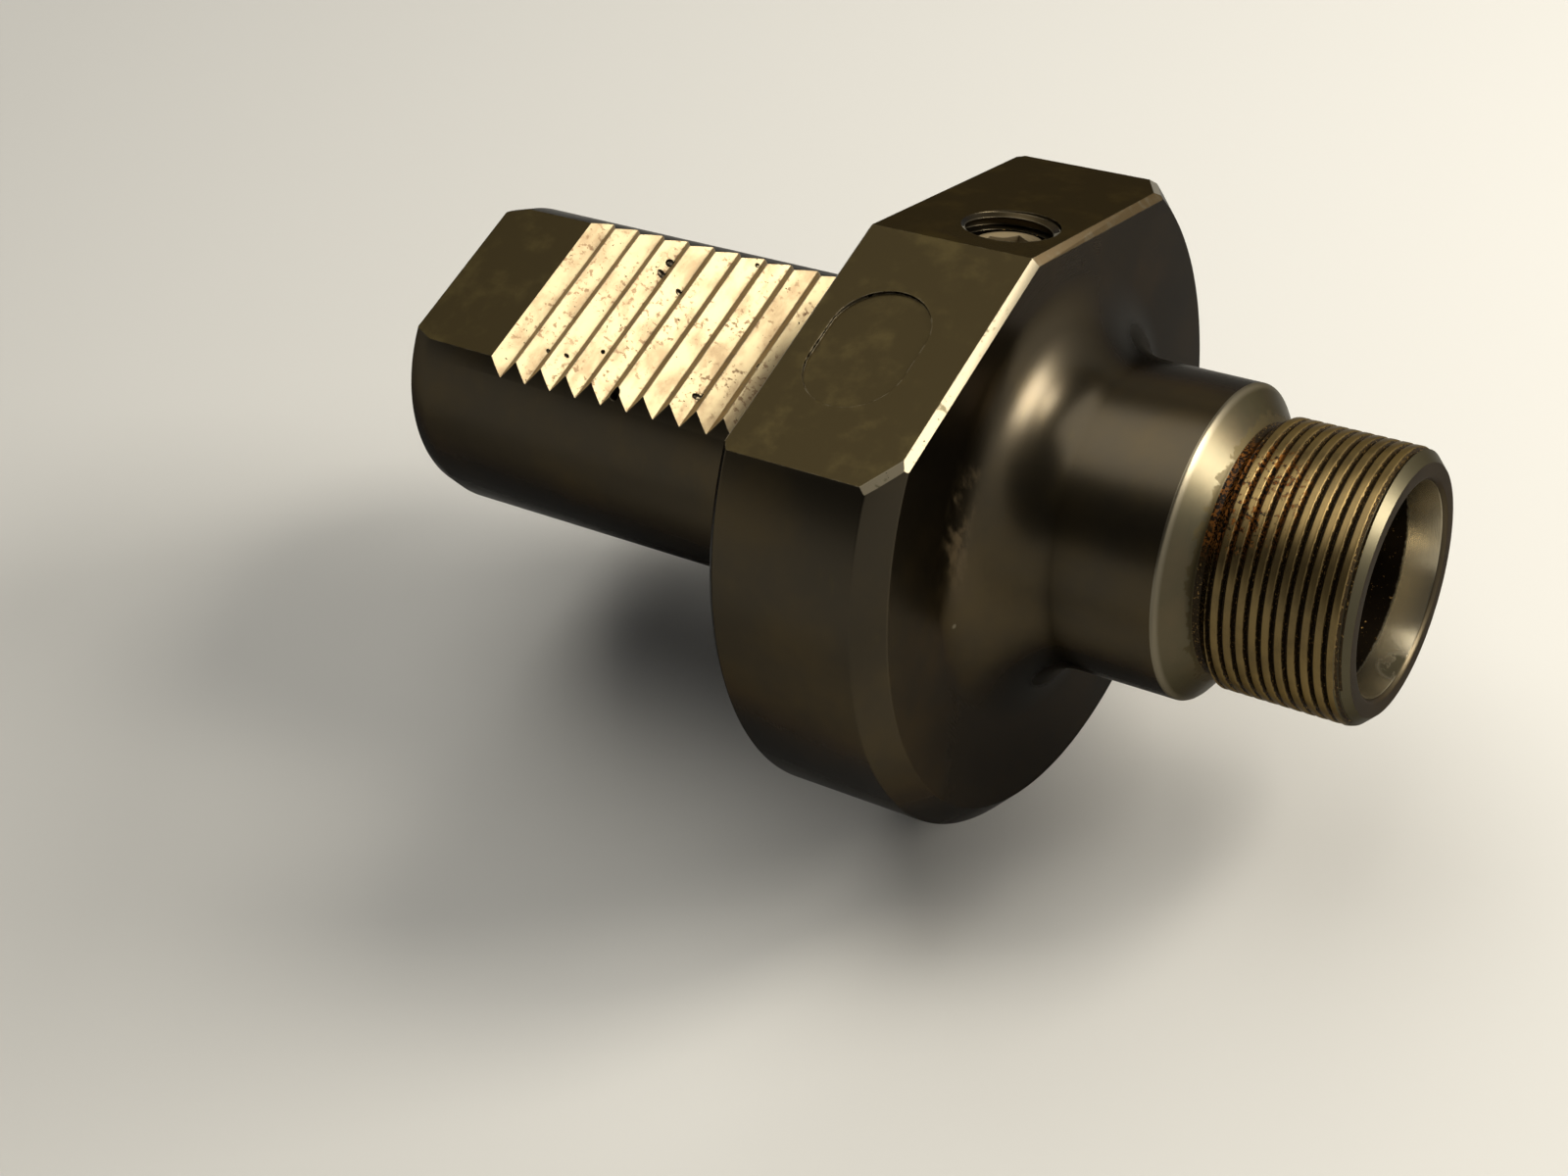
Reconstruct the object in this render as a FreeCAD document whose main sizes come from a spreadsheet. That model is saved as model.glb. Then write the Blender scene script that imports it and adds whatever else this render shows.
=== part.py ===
"""Collet chuck holder with a serrated round shank, in millimetres.

The X axis is the tool axis and points out of the nose. The origin is where that axis
crosses the rear contact face of the flange. The toothed flat of the shank faces +Z.
"""

import FreeCAD, Part
import Sketcher
import os

doc = FreeCAD.newDocument("ColletChuckHolder")

# Driving dimensions, in millimetres and degrees, each with the name that formulas use
SIZES = {
    # shank
    "shank_radius": 20.0,
    "shank_length": 63.0,
    "shank_chamfer": 2.0,
    "tooth_flat_height": 16.0,
    "tooth_pitch": 4.0,
    "tooth_depth": 1.6,
    "tooth_count": 10,
    "plain_flat_length": 13.3,
    "shank_collar_length": 7.0,
    "collar_groove_width": 1.0,
    "collar_groove_depth": 0.3,
    # flange
    "flange_radius": 41.5,
    "flange_thickness": 22.0,
    "flange_front_chamfer": 3.0,
    "flange_rear_chamfer": 1.0,
    "flat_height": 32.0,
    "flat_tilt": 30.0,
    "flat_front_chamfer": 1.2,
    "flat_rear_chamfer": 0.3,
    "plate_recess_width": 12.3,
    "plate_recess_length": 17.2,
    "plate_recess_depth": 0.4,
    "plate_recess_setback": 9.2,
    "plate_recess_offset": 8.7,
    # neck and nose
    "neck_radius": 18.8,
    "neck_reach": 43.7,
    "neck_fillet": 9.0,
    "neck_bevel_length": 3.0,
    "relief_radius": 14.8,
    "relief_width": 0.8,
    "nose_thread_radius": 16.0,
    "nose_thread_pitch": 1.5,
    "nose_thread_depth": 0.92,
    "nose_thread_half_angle": 30.0,
    "nose_reach": 65.0,
    "nose_chamfer": 1.4,
    # collet seat and the bores behind it
    "mouth_radius": 12.5,
    "mouth_bevel": 0.4,
    "seat_half_angle": 8.0,
    "stop_bore_radius": 9.0,
    "stop_bore_floor": 28.0,
    "stop_thread_radius": 7.2,
    "stop_thread_length": 11.0,
    "through_bore_radius": 6.5,
    "rear_thread_radius": 9.2,
    "rear_thread_depth": 14.0,
    "rear_thread_bevel": 0.8,
    # coolant passages
    "gallery_setback": 13.45,
    "gallery_radius": 3.0,
    "gallery_end_radius": 34.5,
    "side_thread_radius": 5.1,
    "side_thread_depth": 12.0,
    "side_thread_bevel": 0.9,
    "inlet_radius": 4.0,
    "inlet_circle_radius": 31.5,
    # seals and clearances
    "shank_seal_cord_radius": 1.5,
    "shank_seal_stand_proud": 0.12,
    "shank_seal_groove_radius": 19.5,
    "shank_seal_side_room": 0.65,
    "stop_seal_cord_radius": 0.75,
    "stop_seal_side_room": 0.25,
    "rear_seal_cord_radius": 1.0,
    "seal_clearance": 0.03,
    "thread_clearance": 0.1,
    # side plug
    "side_plug_sink": 2.3,
    "side_plug_length": 8.0,
    "side_plug_socket_width": 6.0,
    "side_plug_socket_depth": 4.0,
    "side_plug_bevel": 0.5,
    # stop screw
    "stop_screw_travel": 3.0,
    "stop_end_room": 0.5,
    "stop_head_length": 4.5,
    "stop_head_clearance": 0.25,
    "stop_screw_length": 15.8,
    "stop_socket_width": 8.0,
    "stop_socket_depth": 6.0,
    "stop_coolant_radius": 2.5,
    "stop_screw_bevel": 0.5,
    # rear plug
    "rear_plug_sink": 2.0,
    "rear_plug_socket_width": 10.0,
    "rear_plug_socket_depth": 6.0,
    "rear_plug_bevel": 0.8,
}

# How far past a surface a cut starts, so that no skin is left on it
OVERSHOOT = 1.0
# An arc whose chord passes this near its centre, as a share of its radius, is a half circle
HALF_CIRCLE_SHARE = 0.001
# Half the angle that one side of an octagon spans, in degrees
OCTAGON_HALF_ANGLE = 22.5

# Front face of the stop screw's head at rest, in the middle of its travel
STOP_HEAD_FRONT = "stop_bore_floor + stop_end_room + stop_screw_travel + stop_head_length"

sheet = doc.addObject("Spreadsheet::Sheet", "Sizes")
for row, (alias, value) in enumerate(SIZES.items(), start=1):
    sheet.set(f"A{row}", alias.replace("_", " "))
    sheet.set(f"B{row}", str(value))
    sheet.setAlias(f"B{row}", alias)
doc.recompute()


def bound(formula):
    """The formula with the sheet's name before each alias, as an expression needs it."""
    text = ""
    word = ""
    for letter in formula + " ":
        if letter.isalnum() or letter in "_.":
            word += letter
            continue
        text += f"Sizes.{word}" if word in SIZES else word
        text += letter
        word = ""
    return text.strip()


def number(formula):
    """The present value of a formula of aliases, which places a point near its end place."""
    sheet.set("D1", f"={formula}")
    sheet.recompute()
    value = sheet.get("D1")
    return float(getattr(value, "Value", value))


def new_body(label):
    """An empty body whose label names its file."""
    body = doc.addObject("PartDesign::Body", label)
    body.Label = label
    return body


def origin_feature(body, role):
    """One of the body's own origin planes or axes."""
    return next(item for item in body.Origin.OriginFeatures if item.Role == role)


def new_sketch(body, name, plane, turn_axis=None, **offset):
    """A sketch on a plane of the body, turned by the flange's tilt about an axis if one is given."""
    sketch = body.newObject("Sketcher::SketchObject", name)
    sketch.AttachmentSupport = [(origin_feature(body, plane), "")]
    sketch.MapMode = "FlatFace"
    if turn_axis:
        turn = FreeCAD.Rotation(FreeCAD.Vector(*turn_axis), number("flat_tilt"))
        sketch.AttachmentOffset = FreeCAD.Placement(FreeCAD.Vector(), turn)
        sketch.setExpression("AttachmentOffset.Rotation.Angle", bound("flat_tilt"))
    for direction, formula in offset.items():
        sketch.setExpression(f"AttachmentOffset.Base.{direction}", bound(formula))
    return sketch


def hold_point(sketch, edge, vertex, horizontal, vertical):
    """Tie a point of an edge to the sketch's origin by two formulas; "0" puts it on an axis."""
    for kind, axis, formula in (("DistanceX", -2, horizontal), ("DistanceY", -1, vertical)):
        if formula is None:
            continue
        if formula == "0":
            sketch.addConstraint(Sketcher.Constraint("PointOnObject", edge, vertex, axis))
            continue
        backwards = formula.startswith("-")
        formula = formula.lstrip("-")
        size = number(formula)
        ends = (edge, vertex, -1, 1) if backwards else (-1, 1, edge, vertex)
        index = sketch.addConstraint(Sketcher.Constraint(kind, *ends, size))
        sketch.setExpression(f"Constraints[{index}]", bound(formula))


def draw_outline(sketch, corners, arcs=None):
    """Draw a closed outline through corners given as pairs of formulas.

    arcs maps a corner's place in the list to the centre of the arc that runs from it to
    the next corner. An arc takes the short way round, and a half circle bulges to the
    right of the way to the next corner.
    """
    arcs = arcs or {}
    points = [FreeCAD.Vector(number(across), number(up), 0) for across, up in corners]
    edges = []
    for place, start in enumerate(points):
        end = points[(place + 1) % len(points)]
        if place not in arcs:
            edge = sketch.addGeometry(Part.LineSegment(start, end), False)
            edges.append((edge, 1, 2))
            continue
        centre = FreeCAD.Vector(*[number(formula) for formula in arcs[place]], 0)
        radius = (start - centre).Length
        bulge = (start + end) * 0.5 - centre
        if bulge.Length < radius * HALF_CIRCLE_SHARE:
            bulge = FreeCAD.Vector(end.y - start.y, start.x - end.x, 0)
        edge = sketch.addGeometry(Part.Arc(start, centre + bulge.normalize() * radius, end), False)
        gaps = [sketch.getPoint(edge, vertex).distanceToPoint(start) for vertex in (1, 2)]
        edges.append((edge, 1, 2) if gaps[0] < gaps[1] else (edge, 2, 1))
    for place, (edge, first, last) in enumerate(edges):
        before, _, before_last = edges[place - 1]
        sketch.addConstraint(Sketcher.Constraint("Coincident", before, before_last, edge, first))
    for place, (edge, first, last) in enumerate(edges):
        hold_point(sketch, edge, first, *corners[place])
        if place in arcs:
            hold_point(sketch, edge, 3, None, arcs[place][1])


def draw_circle(sketch, radius, across="0", up="0"):
    """A circle whose centre and radius follow formulas."""
    centre = FreeCAD.Vector(number(across), number(up), 0)
    edge = sketch.addGeometry(Part.Circle(centre, FreeCAD.Vector(0, 0, 1), number(radius)), False)
    hold_point(sketch, edge, 3, across, up)
    index = sketch.addConstraint(Sketcher.Constraint("Radius", edge, number(radius)))
    sketch.setExpression(f"Constraints[{index}]", bound(radius))


def turned(body, kind, name, sketch, axis):
    """A revolution or groove of a sketch about one of the sketch's own axes."""
    feature = body.newObject(kind, name)
    feature.Profile = sketch
    feature.ReferenceAxis = (sketch, [axis])
    feature.Angle = 360
    doc.recompute()
    return feature


def pocket(body, name, sketch, depth, towards_normal=False):
    """A straight cut from a sketch, checked to have removed something."""
    before = body.Shape.Volume
    feature = body.newObject("PartDesign::Pocket", name)
    feature.Profile = sketch
    feature.setExpression("Length", bound(depth))
    feature.Reversed = towards_normal
    doc.recompute()
    if not body.Shape.Volume < before:
        raise RuntimeError(f"{name} cuts nothing")
    return feature


def repeated(body, name, feature, length, count):
    """Copies of a feature in a row along the tool axis, the first in its own place."""
    pattern = body.newObject("PartDesign::LinearPattern", name)
    pattern.Originals = [feature]
    pattern.Direction = (origin_feature(body, "X_Axis"), [""])
    pattern.setExpression("Length", bound(length))
    pattern.setExpression("Occurrences", bound(count))
    body.Tip = pattern
    doc.recompute()


def hex_socket(body, name, plane, width, depth, towards_normal=False):
    """A hexagonal key socket centred on the body's own end face."""
    sketch = new_sketch(body, f"{name}Outline", plane)
    corner = f"{width} / sqrt(3)"
    side = f"{width} / (2 * sqrt(3))"
    half = f"{width} / 2"
    corners = [
        (corner, "0"),
        (side, half),
        (f"-{side}", half),
        (f"-{corner}", "0"),
        (f"-{side}", f"-{half}"),
        (side, f"-{half}"),
    ]
    draw_outline(sketch, corners)
    return pocket(body, name, sketch, depth, towards_normal)


def holder_body():
    """The one steel piece: serrated shank, flange with two flats, neck, threaded nose and bores."""
    body = new_body("holder_body")

    # turned outside, with the recess for the shank seal in the flange's rear face, and with
    # the narrow groove in which the toothed flat runs out beside the full round collar
    groove_end = "-(shank_collar_length + collar_groove_width)"
    seal_floor = "2 * shank_seal_cord_radius - shank_seal_stand_proud"
    seal_wall = "shank_seal_groove_radius + 2 * shank_seal_cord_radius + shank_seal_side_room"
    relief_start = "neck_reach + neck_bevel_length"
    thread_start = f"{relief_start} + relief_width + nose_thread_radius - relief_radius"
    profile = new_sketch(body, "OutsideProfile", "XY_Plane")
    draw_outline(
        profile,
        [
            ("-shank_length", "0"),
            ("nose_reach", "0"),
            ("nose_reach", "nose_thread_radius - nose_chamfer"),
            ("nose_reach - nose_chamfer", "nose_thread_radius"),
            (thread_start, "nose_thread_radius"),
            (f"{relief_start} + relief_width", "relief_radius"),
            (relief_start, "relief_radius"),
            ("neck_reach", "neck_radius"),
            ("flange_thickness + neck_fillet", "neck_radius"),
            ("flange_thickness", "neck_radius + neck_fillet"),
            ("flange_thickness", "flange_radius - flange_front_chamfer"),
            ("flange_thickness - flange_front_chamfer", "flange_radius"),
            ("flange_rear_chamfer", "flange_radius"),
            ("0", "flange_radius - flange_rear_chamfer"),
            ("0", seal_wall),
            (seal_floor, seal_wall),
            (seal_floor, "shank_seal_groove_radius"),
            ("0", "shank_seal_groove_radius"),
            ("0", "shank_radius"),
            ("-shank_collar_length", "shank_radius"),
            ("-shank_collar_length", "shank_radius - collar_groove_depth"),
            (groove_end, "shank_radius - collar_groove_depth"),
            (groove_end, "shank_radius"),
            ("-(shank_length - shank_chamfer)", "shank_radius"),
            ("-shank_length", "shank_radius - shank_chamfer"),
        ],
        arcs={8: ("flange_thickness + neck_fillet", "neck_radius + neck_fillet")},
    )
    turned(body, "PartDesign::Revolution", "Outside", profile, "H_Axis")

    # the nose thread as plain rings, which have its pitch and depth but need few faces; the
    # first one breaks the edge of the lead-in
    ring_centre = f"({thread_start} + nose_thread_pitch / 4)"
    ring_floor = "nose_thread_radius - nose_thread_depth"
    ring_top = f"nose_thread_radius + {OVERSHOOT}"
    half_width = f"(nose_thread_depth + {OVERSHOOT}) * tan(nose_thread_half_angle)"
    ring = new_sketch(body, "ThreadRingProfile", "XY_Plane")
    draw_outline(
        ring,
        [
            (ring_centre, ring_floor),
            (f"{ring_centre} + {half_width}", ring_top),
            (f"{ring_centre} - {half_width}", ring_top),
        ],
    )
    ring_cut = turned(body, "PartDesign::Groove", "ThreadRing", ring, "H_Axis")
    last_ring = "nose_reach - nose_chamfer - nose_thread_depth * tan(nose_thread_half_angle)"
    ring_steps = f"floor(({last_ring} - {ring_centre}) / nose_thread_pitch)"
    repeated(body, "ThreadRings", ring_cut, f"{ring_steps} * nose_thread_pitch", f"{ring_steps} + 1")

    # stepped bore: collet seat, stop screw bore and thread, through bore, rear plug thread
    seat_front = "nose_reach - mouth_bevel"
    seat_back = f"{seat_front} - (mouth_radius - stop_bore_radius) / tan(seat_half_angle)"
    stop_thread_back = "stop_bore_floor - stop_thread_length"
    rear_shoulder = "-(shank_length - rear_thread_depth)"
    bores = new_sketch(body, "BoreProfile", "XY_Plane")
    draw_outline(
        bores,
        [
            ("-shank_length", "0"),
            ("nose_reach", "0"),
            ("nose_reach", "mouth_radius + mouth_bevel"),
            (seat_front, "mouth_radius"),
            (seat_back, "stop_bore_radius"),
            ("stop_bore_floor", "stop_bore_radius"),
            ("stop_bore_floor", "stop_thread_radius"),
            (stop_thread_back, "stop_thread_radius"),
            (stop_thread_back, "through_bore_radius"),
            (rear_shoulder, "through_bore_radius"),
            (rear_shoulder, "rear_thread_radius"),
            ("-(shank_length - rear_thread_bevel)", "rear_thread_radius"),
            ("-shank_length", "rear_thread_radius + rear_thread_bevel"),
        ],
    )
    turned(body, "PartDesign::Groove", "Bores", bores, "H_Axis")

    # two flats milled on the flange, the second one tilted towards +Y
    for name, turn_axis in (("PlateFlat", None), ("PlugFlat", (0, 0, -1))):
        outline = new_sketch(body, f"{name}Outline", "YZ_Plane", turn_axis)
        top = f"flange_radius + {OVERSHOOT}"
        draw_outline(
            outline,
            [
                (f"-({top})", "flat_height"),
                (top, "flat_height"),
                (top, top),
                (f"-({top})", top),
            ],
        )
        pocket(body, name, outline, "flange_thickness", towards_normal=True)

    # bevels along the front and rear edges of both flats
    front_bevel = f"flat_front_chamfer + {OVERSHOOT}"
    rear_bevel = f"flat_rear_chamfer + {OVERSHOOT}"
    for name, turn_axis in (("PlateFlat", None), ("PlugFlat", (-1, 0, 0))):
        outlines = {
            "Front": [
                (f"flange_thickness - ({front_bevel})", f"flat_height + {OVERSHOOT}"),
                (f"flange_thickness + {OVERSHOOT}", f"flat_height - ({front_bevel})"),
                (f"flange_thickness + {OVERSHOOT}", f"flat_height + {OVERSHOOT}"),
            ],
            "Rear": [
                (rear_bevel, f"flat_height + {OVERSHOOT}"),
                (f"-{OVERSHOOT}", f"flat_height + {OVERSHOOT}"),
                (f"-{OVERSHOOT}", f"flat_height - ({rear_bevel})"),
            ],
        }
        for side, corners in outlines.items():
            bevel = new_sketch(body, f"{name}{side}BevelOutline", "XZ_Plane", turn_axis)
            draw_outline(bevel, corners)
            bevel_cut = pocket(body, f"{name}{side}Bevel", bevel, "2 * flange_radius")
            bevel_cut.SideType = "Symmetric"

    # the flat that carries the teeth runs out of the shank's end and stops short of the flange
    shank_flat = new_sketch(body, "ShankFlatOutline", "XZ_Plane")
    flat_end = f"-(shank_length + {OVERSHOOT})"
    flat_top = f"shank_radius + {OVERSHOOT}"
    draw_outline(
        shank_flat,
        [
            (flat_end, "tooth_flat_height"),
            ("-shank_collar_length", "tooth_flat_height"),
            ("-shank_collar_length", flat_top),
            (flat_end, flat_top),
        ],
    )
    across = f"2 * (shank_radius + {OVERSHOOT})"
    flat_cut = pocket(body, "ShankFlat", shank_flat, across)
    flat_cut.SideType = "Symmetric"

    # one V groove across the flat, repeated along the shank
    groove_start = "shank_length - plain_flat_length"
    tooth = new_sketch(body, "ToothGrooveOutline", "XZ_Plane")
    draw_outline(
        tooth,
        [
            (f"-({groove_start})", "tooth_flat_height"),
            (f"-({groove_start} - tooth_pitch / 2)", "tooth_flat_height - tooth_depth"),
            (f"-({groove_start} - tooth_pitch)", "tooth_flat_height"),
        ],
    )
    tooth_cut = pocket(body, "ToothGroove", tooth, across)
    tooth_cut.SideType = "Symmetric"
    repeated(body, "Teeth", tooth_cut, "(tooth_count - 1) * tooth_pitch", "tooth_count")

    # shallow round-ended recess in the first flat, where a plate can sit
    recess = new_sketch(body, "PlateRecessOutline", "XY_Plane", z="flat_height")
    left = "plate_recess_setback - plate_recess_width / 2"
    right = "plate_recess_setback + plate_recess_width / 2"
    straight = "(plate_recess_length - plate_recess_width) / 2"
    near = f"-(plate_recess_offset + {straight})"
    far = f"-(plate_recess_offset - {straight})"
    draw_outline(
        recess,
        [(left, near), (right, near), (right, far), (left, far)],
        arcs={0: ("plate_recess_setback", near), 2: ("plate_recess_setback", far)},
    )
    pocket(body, "PlateRecess", recess, "plate_recess_depth")

    # coolant gallery drilled from the tilted flat through the axis, threaded at its mouth
    gallery = new_sketch(body, "GalleryProfile", "XZ_Plane", (-1, 0, 0), x="gallery_setback")
    draw_outline(
        gallery,
        [
            ("0", "-gallery_end_radius"),
            ("gallery_radius", "-gallery_end_radius"),
            ("gallery_radius", "flat_height - side_thread_depth"),
            ("side_thread_radius", "flat_height - side_thread_depth"),
            ("side_thread_radius", "flat_height - side_thread_bevel"),
            (f"side_thread_radius + side_thread_bevel + {OVERSHOOT}", f"flat_height + {OVERSHOOT}"),
            ("0", f"flat_height + {OVERSHOOT}"),
        ],
    )
    turned(body, "PartDesign::Groove", "Gallery", gallery, "V_Axis")

    # coolant inlet drilled from the flange's rear face into the far end of the gallery
    inlet = new_sketch(body, "InletOutline", "YZ_Plane", (0, 0, -1))
    draw_circle(inlet, "inlet_radius", up="-inlet_circle_radius")
    pocket(body, "Inlet", inlet, "gallery_setback + gallery_radius", towards_normal=True)
    return body


def side_plug():
    """Socket set screw that closes the gallery, modelled along Z with its top at zero."""
    body = new_body("side_plug")
    radius = "side_thread_radius - thread_clearance"
    profile = new_sketch(body, "SidePlugProfile", "XZ_Plane")
    draw_outline(
        profile,
        [
            ("0", "-side_plug_length"),
            (f"{radius} - 2 * side_plug_bevel", "-side_plug_length"),
            (radius, "-(side_plug_length - 2 * side_plug_bevel)"),
            (radius, "-side_plug_bevel"),
            (f"{radius} - side_plug_bevel", "0"),
            ("0", "0"),
        ],
    )
    turned(body, "PartDesign::Revolution", "SidePlugTurned", profile, "V_Axis")
    hex_socket(body, "SidePlugSocket", "XY_Plane", "side_plug_socket_width", "side_plug_socket_depth")
    top = "(flat_height - side_plug_sink)"
    tilt = FreeCAD.Rotation(FreeCAD.Vector(-1, 0, 0), number("flat_tilt"))
    body.Placement = FreeCAD.Placement(FreeCAD.Vector(), tilt)
    body.setExpression("Placement.Base.x", bound("gallery_setback"))
    body.setExpression("Placement.Base.y", bound(f"{top} * sin(flat_tilt)"))
    body.setExpression("Placement.Base.z", bound(f"{top} * cos(flat_tilt)"))
    body.setExpression("Placement.Rotation.Angle", bound("flat_tilt"))
    return body


def stop_screw():
    """Adjusting screw behind the collet, modelled with the front face of its head at zero."""
    body = new_body("stop_screw")
    thread = "stop_thread_radius - thread_clearance"
    head = "stop_bore_radius - stop_head_clearance"
    seal_radius = "stop_bore_radius - 2 * (stop_seal_cord_radius + seal_clearance)"
    groove_half = "stop_seal_cord_radius + stop_seal_side_room"
    profile = new_sketch(body, "StopScrewProfile", "XY_Plane")
    draw_outline(
        profile,
        [
            ("0", "stop_coolant_radius"),
            ("0", f"{head} - stop_screw_bevel"),
            ("-stop_screw_bevel", head),
            (f"-(stop_head_length / 2 - ({groove_half}))", head),
            (f"-(stop_head_length / 2 - ({groove_half}))", seal_radius),
            (f"-(stop_head_length / 2 + {groove_half})", seal_radius),
            (f"-(stop_head_length / 2 + {groove_half})", head),
            ("-stop_head_length", head),
            ("-stop_head_length", thread),
            ("-(stop_screw_length - stop_screw_bevel)", thread),
            ("-stop_screw_length", f"{thread} - stop_screw_bevel"),
            ("-stop_screw_length", "stop_coolant_radius"),
        ],
    )
    turned(body, "PartDesign::Revolution", "StopScrewTurned", profile, "H_Axis")
    hex_socket(body, "StopScrewSocket", "YZ_Plane", "stop_socket_width", "stop_socket_depth")
    body.setExpression("Placement.Base.x", bound(STOP_HEAD_FRONT))
    return body


def rear_plug():
    """Socket plug in the shank's end, modelled with its outer face at zero."""
    body = new_body("rear_plug")
    radius = "rear_thread_radius - thread_clearance"
    length = "rear_thread_depth - rear_plug_sink - 2 * (rear_seal_cord_radius + seal_clearance)"
    profile = new_sketch(body, "RearPlugProfile", "XY_Plane")
    draw_outline(
        profile,
        [
            ("0", "0"),
            ("0", f"{radius} - rear_plug_bevel"),
            ("rear_plug_bevel", radius),
            (length, radius),
            (length, "0"),
        ],
    )
    turned(body, "PartDesign::Revolution", "RearPlugTurned", profile, "H_Axis")
    hex_socket(body, "RearPlugSocket", "YZ_Plane", "rear_plug_socket_width", "rear_plug_socket_depth",
               towards_normal=True)
    body.setExpression("Placement.Base.x", bound("-(shank_length - rear_plug_sink)"))
    return body


def seal_ring(label, ring_radius, cord_radius, place):
    """A seal around the tool axis, its middle plane at a place along it.

    Its section is an octagon as wide as the cord, with flats where the squeezed ring bears
    on the floor, the walls and the lid of its groove.
    """
    body = new_body(label)
    section = new_sketch(body, f"{label}_section", "XY_Plane")
    flat_end = f"({cord_radius}) * tan({OCTAGON_HALF_ANGLE})"
    draw_outline(
        section,
        [
            (f"-{cord_radius}", f"{ring_radius} - {flat_end}"),
            (f"-{flat_end}", f"{ring_radius} - {cord_radius}"),
            (flat_end, f"{ring_radius} - {cord_radius}"),
            (cord_radius, f"{ring_radius} - {flat_end}"),
            (cord_radius, f"{ring_radius} + {flat_end}"),
            (flat_end, f"{ring_radius} + {cord_radius}"),
            (f"-{flat_end}", f"{ring_radius} + {cord_radius}"),
            (f"-{cord_radius}", f"{ring_radius} + {flat_end}"),
        ],
    )
    turned(body, "PartDesign::Revolution", f"{label}_turned", section, "H_Axis")
    body.setExpression("Placement.Base.x", bound(place))
    return body


def main():
    sub_parts = [
        holder_body(),
        side_plug(),
        stop_screw(),
        rear_plug(),
        seal_ring(
            "shank_seal",
            "shank_seal_groove_radius + seal_clearance + shank_seal_cord_radius",
            "shank_seal_cord_radius",
            "shank_seal_cord_radius - shank_seal_stand_proud - seal_clearance",
        ),
        seal_ring(
            "stop_screw_seal",
            "stop_bore_radius - seal_clearance - stop_seal_cord_radius",
            "stop_seal_cord_radius",
            f"{STOP_HEAD_FRONT} - stop_head_length / 2",
        ),
        seal_ring(
            "rear_plug_seal",
            "rear_thread_radius - seal_clearance - rear_seal_cord_radius",
            "rear_seal_cord_radius",
            "-(shank_length - rear_thread_depth + rear_seal_cord_radius + seal_clearance)",
        ),
    ]
    sheet.clear("D1")
    doc.recompute()

    for item in doc.Objects:
        if "Invalid" in item.State or "Error" in item.State:
            raise RuntimeError(f"{item.Name} failed: {item.State}")
    for sub_part in sub_parts:
        shape = sub_part.Shape
        if shape.isNull() or not shape.isValid():
            raise RuntimeError(f"{sub_part.Label} has no valid shape")
    os.makedirs("parts", exist_ok=True)
    for sub_part in sub_parts:
        shape = sub_part.Shape
        shape.exportStep(f"parts/{sub_part.Label}.step")
        box = shape.BoundBox
        print(
            f"{sub_part.Label}: {len(shape.Solids)} solid, {shape.Volume:.1f} mm3, "
            f"x {box.XMin:.2f} to {box.XMax:.2f}, y {box.YMin:.2f} to {box.YMax:.2f}, "
            f"z {box.ZMin:.2f} to {box.ZMax:.2f}"
        )


main()
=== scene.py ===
"""Looks of a collet chuck holder: blackened, worn steel on a pale floor.

The file is laid out as an add-on and run as a script. Lengths are in metres. The X axis is
the tool axis, pointing out of the nose, and the toothed flat of the shank faces +Z.
"""

import math

import bmesh
import bpy
from mathutils import Matrix, Vector


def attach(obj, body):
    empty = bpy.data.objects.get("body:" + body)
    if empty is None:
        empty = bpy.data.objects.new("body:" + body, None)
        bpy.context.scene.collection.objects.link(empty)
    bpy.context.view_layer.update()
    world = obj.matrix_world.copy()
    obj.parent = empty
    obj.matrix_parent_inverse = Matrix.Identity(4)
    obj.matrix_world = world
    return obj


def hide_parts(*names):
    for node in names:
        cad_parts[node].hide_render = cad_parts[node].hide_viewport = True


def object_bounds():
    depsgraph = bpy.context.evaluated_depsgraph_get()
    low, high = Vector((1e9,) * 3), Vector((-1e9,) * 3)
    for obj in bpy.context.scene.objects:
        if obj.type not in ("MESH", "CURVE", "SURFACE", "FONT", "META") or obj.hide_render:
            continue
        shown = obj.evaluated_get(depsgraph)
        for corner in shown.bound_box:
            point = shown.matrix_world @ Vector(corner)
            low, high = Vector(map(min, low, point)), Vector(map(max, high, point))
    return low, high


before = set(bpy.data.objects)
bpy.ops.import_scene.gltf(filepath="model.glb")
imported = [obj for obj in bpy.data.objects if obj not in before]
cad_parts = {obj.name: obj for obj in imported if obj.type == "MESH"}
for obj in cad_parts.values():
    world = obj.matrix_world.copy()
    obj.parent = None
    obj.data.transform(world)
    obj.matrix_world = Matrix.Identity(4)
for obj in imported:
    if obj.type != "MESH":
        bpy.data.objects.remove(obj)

bl_info = {
    "name": "Collet Chuck Holder",
    "version": (1, 0, 0),
    "blender": (4, 5, 0),
    "location": "3D View > Sidebar > Holder",
    "description": "Builds the blackened steel surfaces of a serrated-shank collet chuck holder",
    "category": "Object",
}

MM = 0.001
CAD_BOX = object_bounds()
# Columns of vertices round the large turned surfaces, and round the small ones
TURNED_COLUMNS = 240
SCREW_COLUMNS = 96
# How far a cutter stands past the surface that it cuts
OVERSHOOT = 1.0 * MM
# Points closer than this are one point
WELD = 0.002 * MM
# Faces that meet at more than this keep a sharp edge between them
SHARP_ANGLE = math.radians(24)


def length(label, millimetres, text):
    """A length property, given in millimetres and kept in metres."""
    return bpy.props.FloatProperty(
        name=label, description=text, default=millimetres * MM, unit="LENGTH", precision=5
    )


def linear(hex_colour):
    """An sRGB hex colour as the linear colour with full alpha that the nodes take."""
    parts = [int(hex_colour[place:place + 2], 16) / 255 for place in (0, 2, 4)]
    low = [part / 12.92 for part in parts]
    high = [((part + 0.055) / 1.055) ** 2.4 for part in parts]
    return (*[a if part <= 0.04045 else b for part, a, b in zip(parts, low, high)], 1.0)


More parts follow.
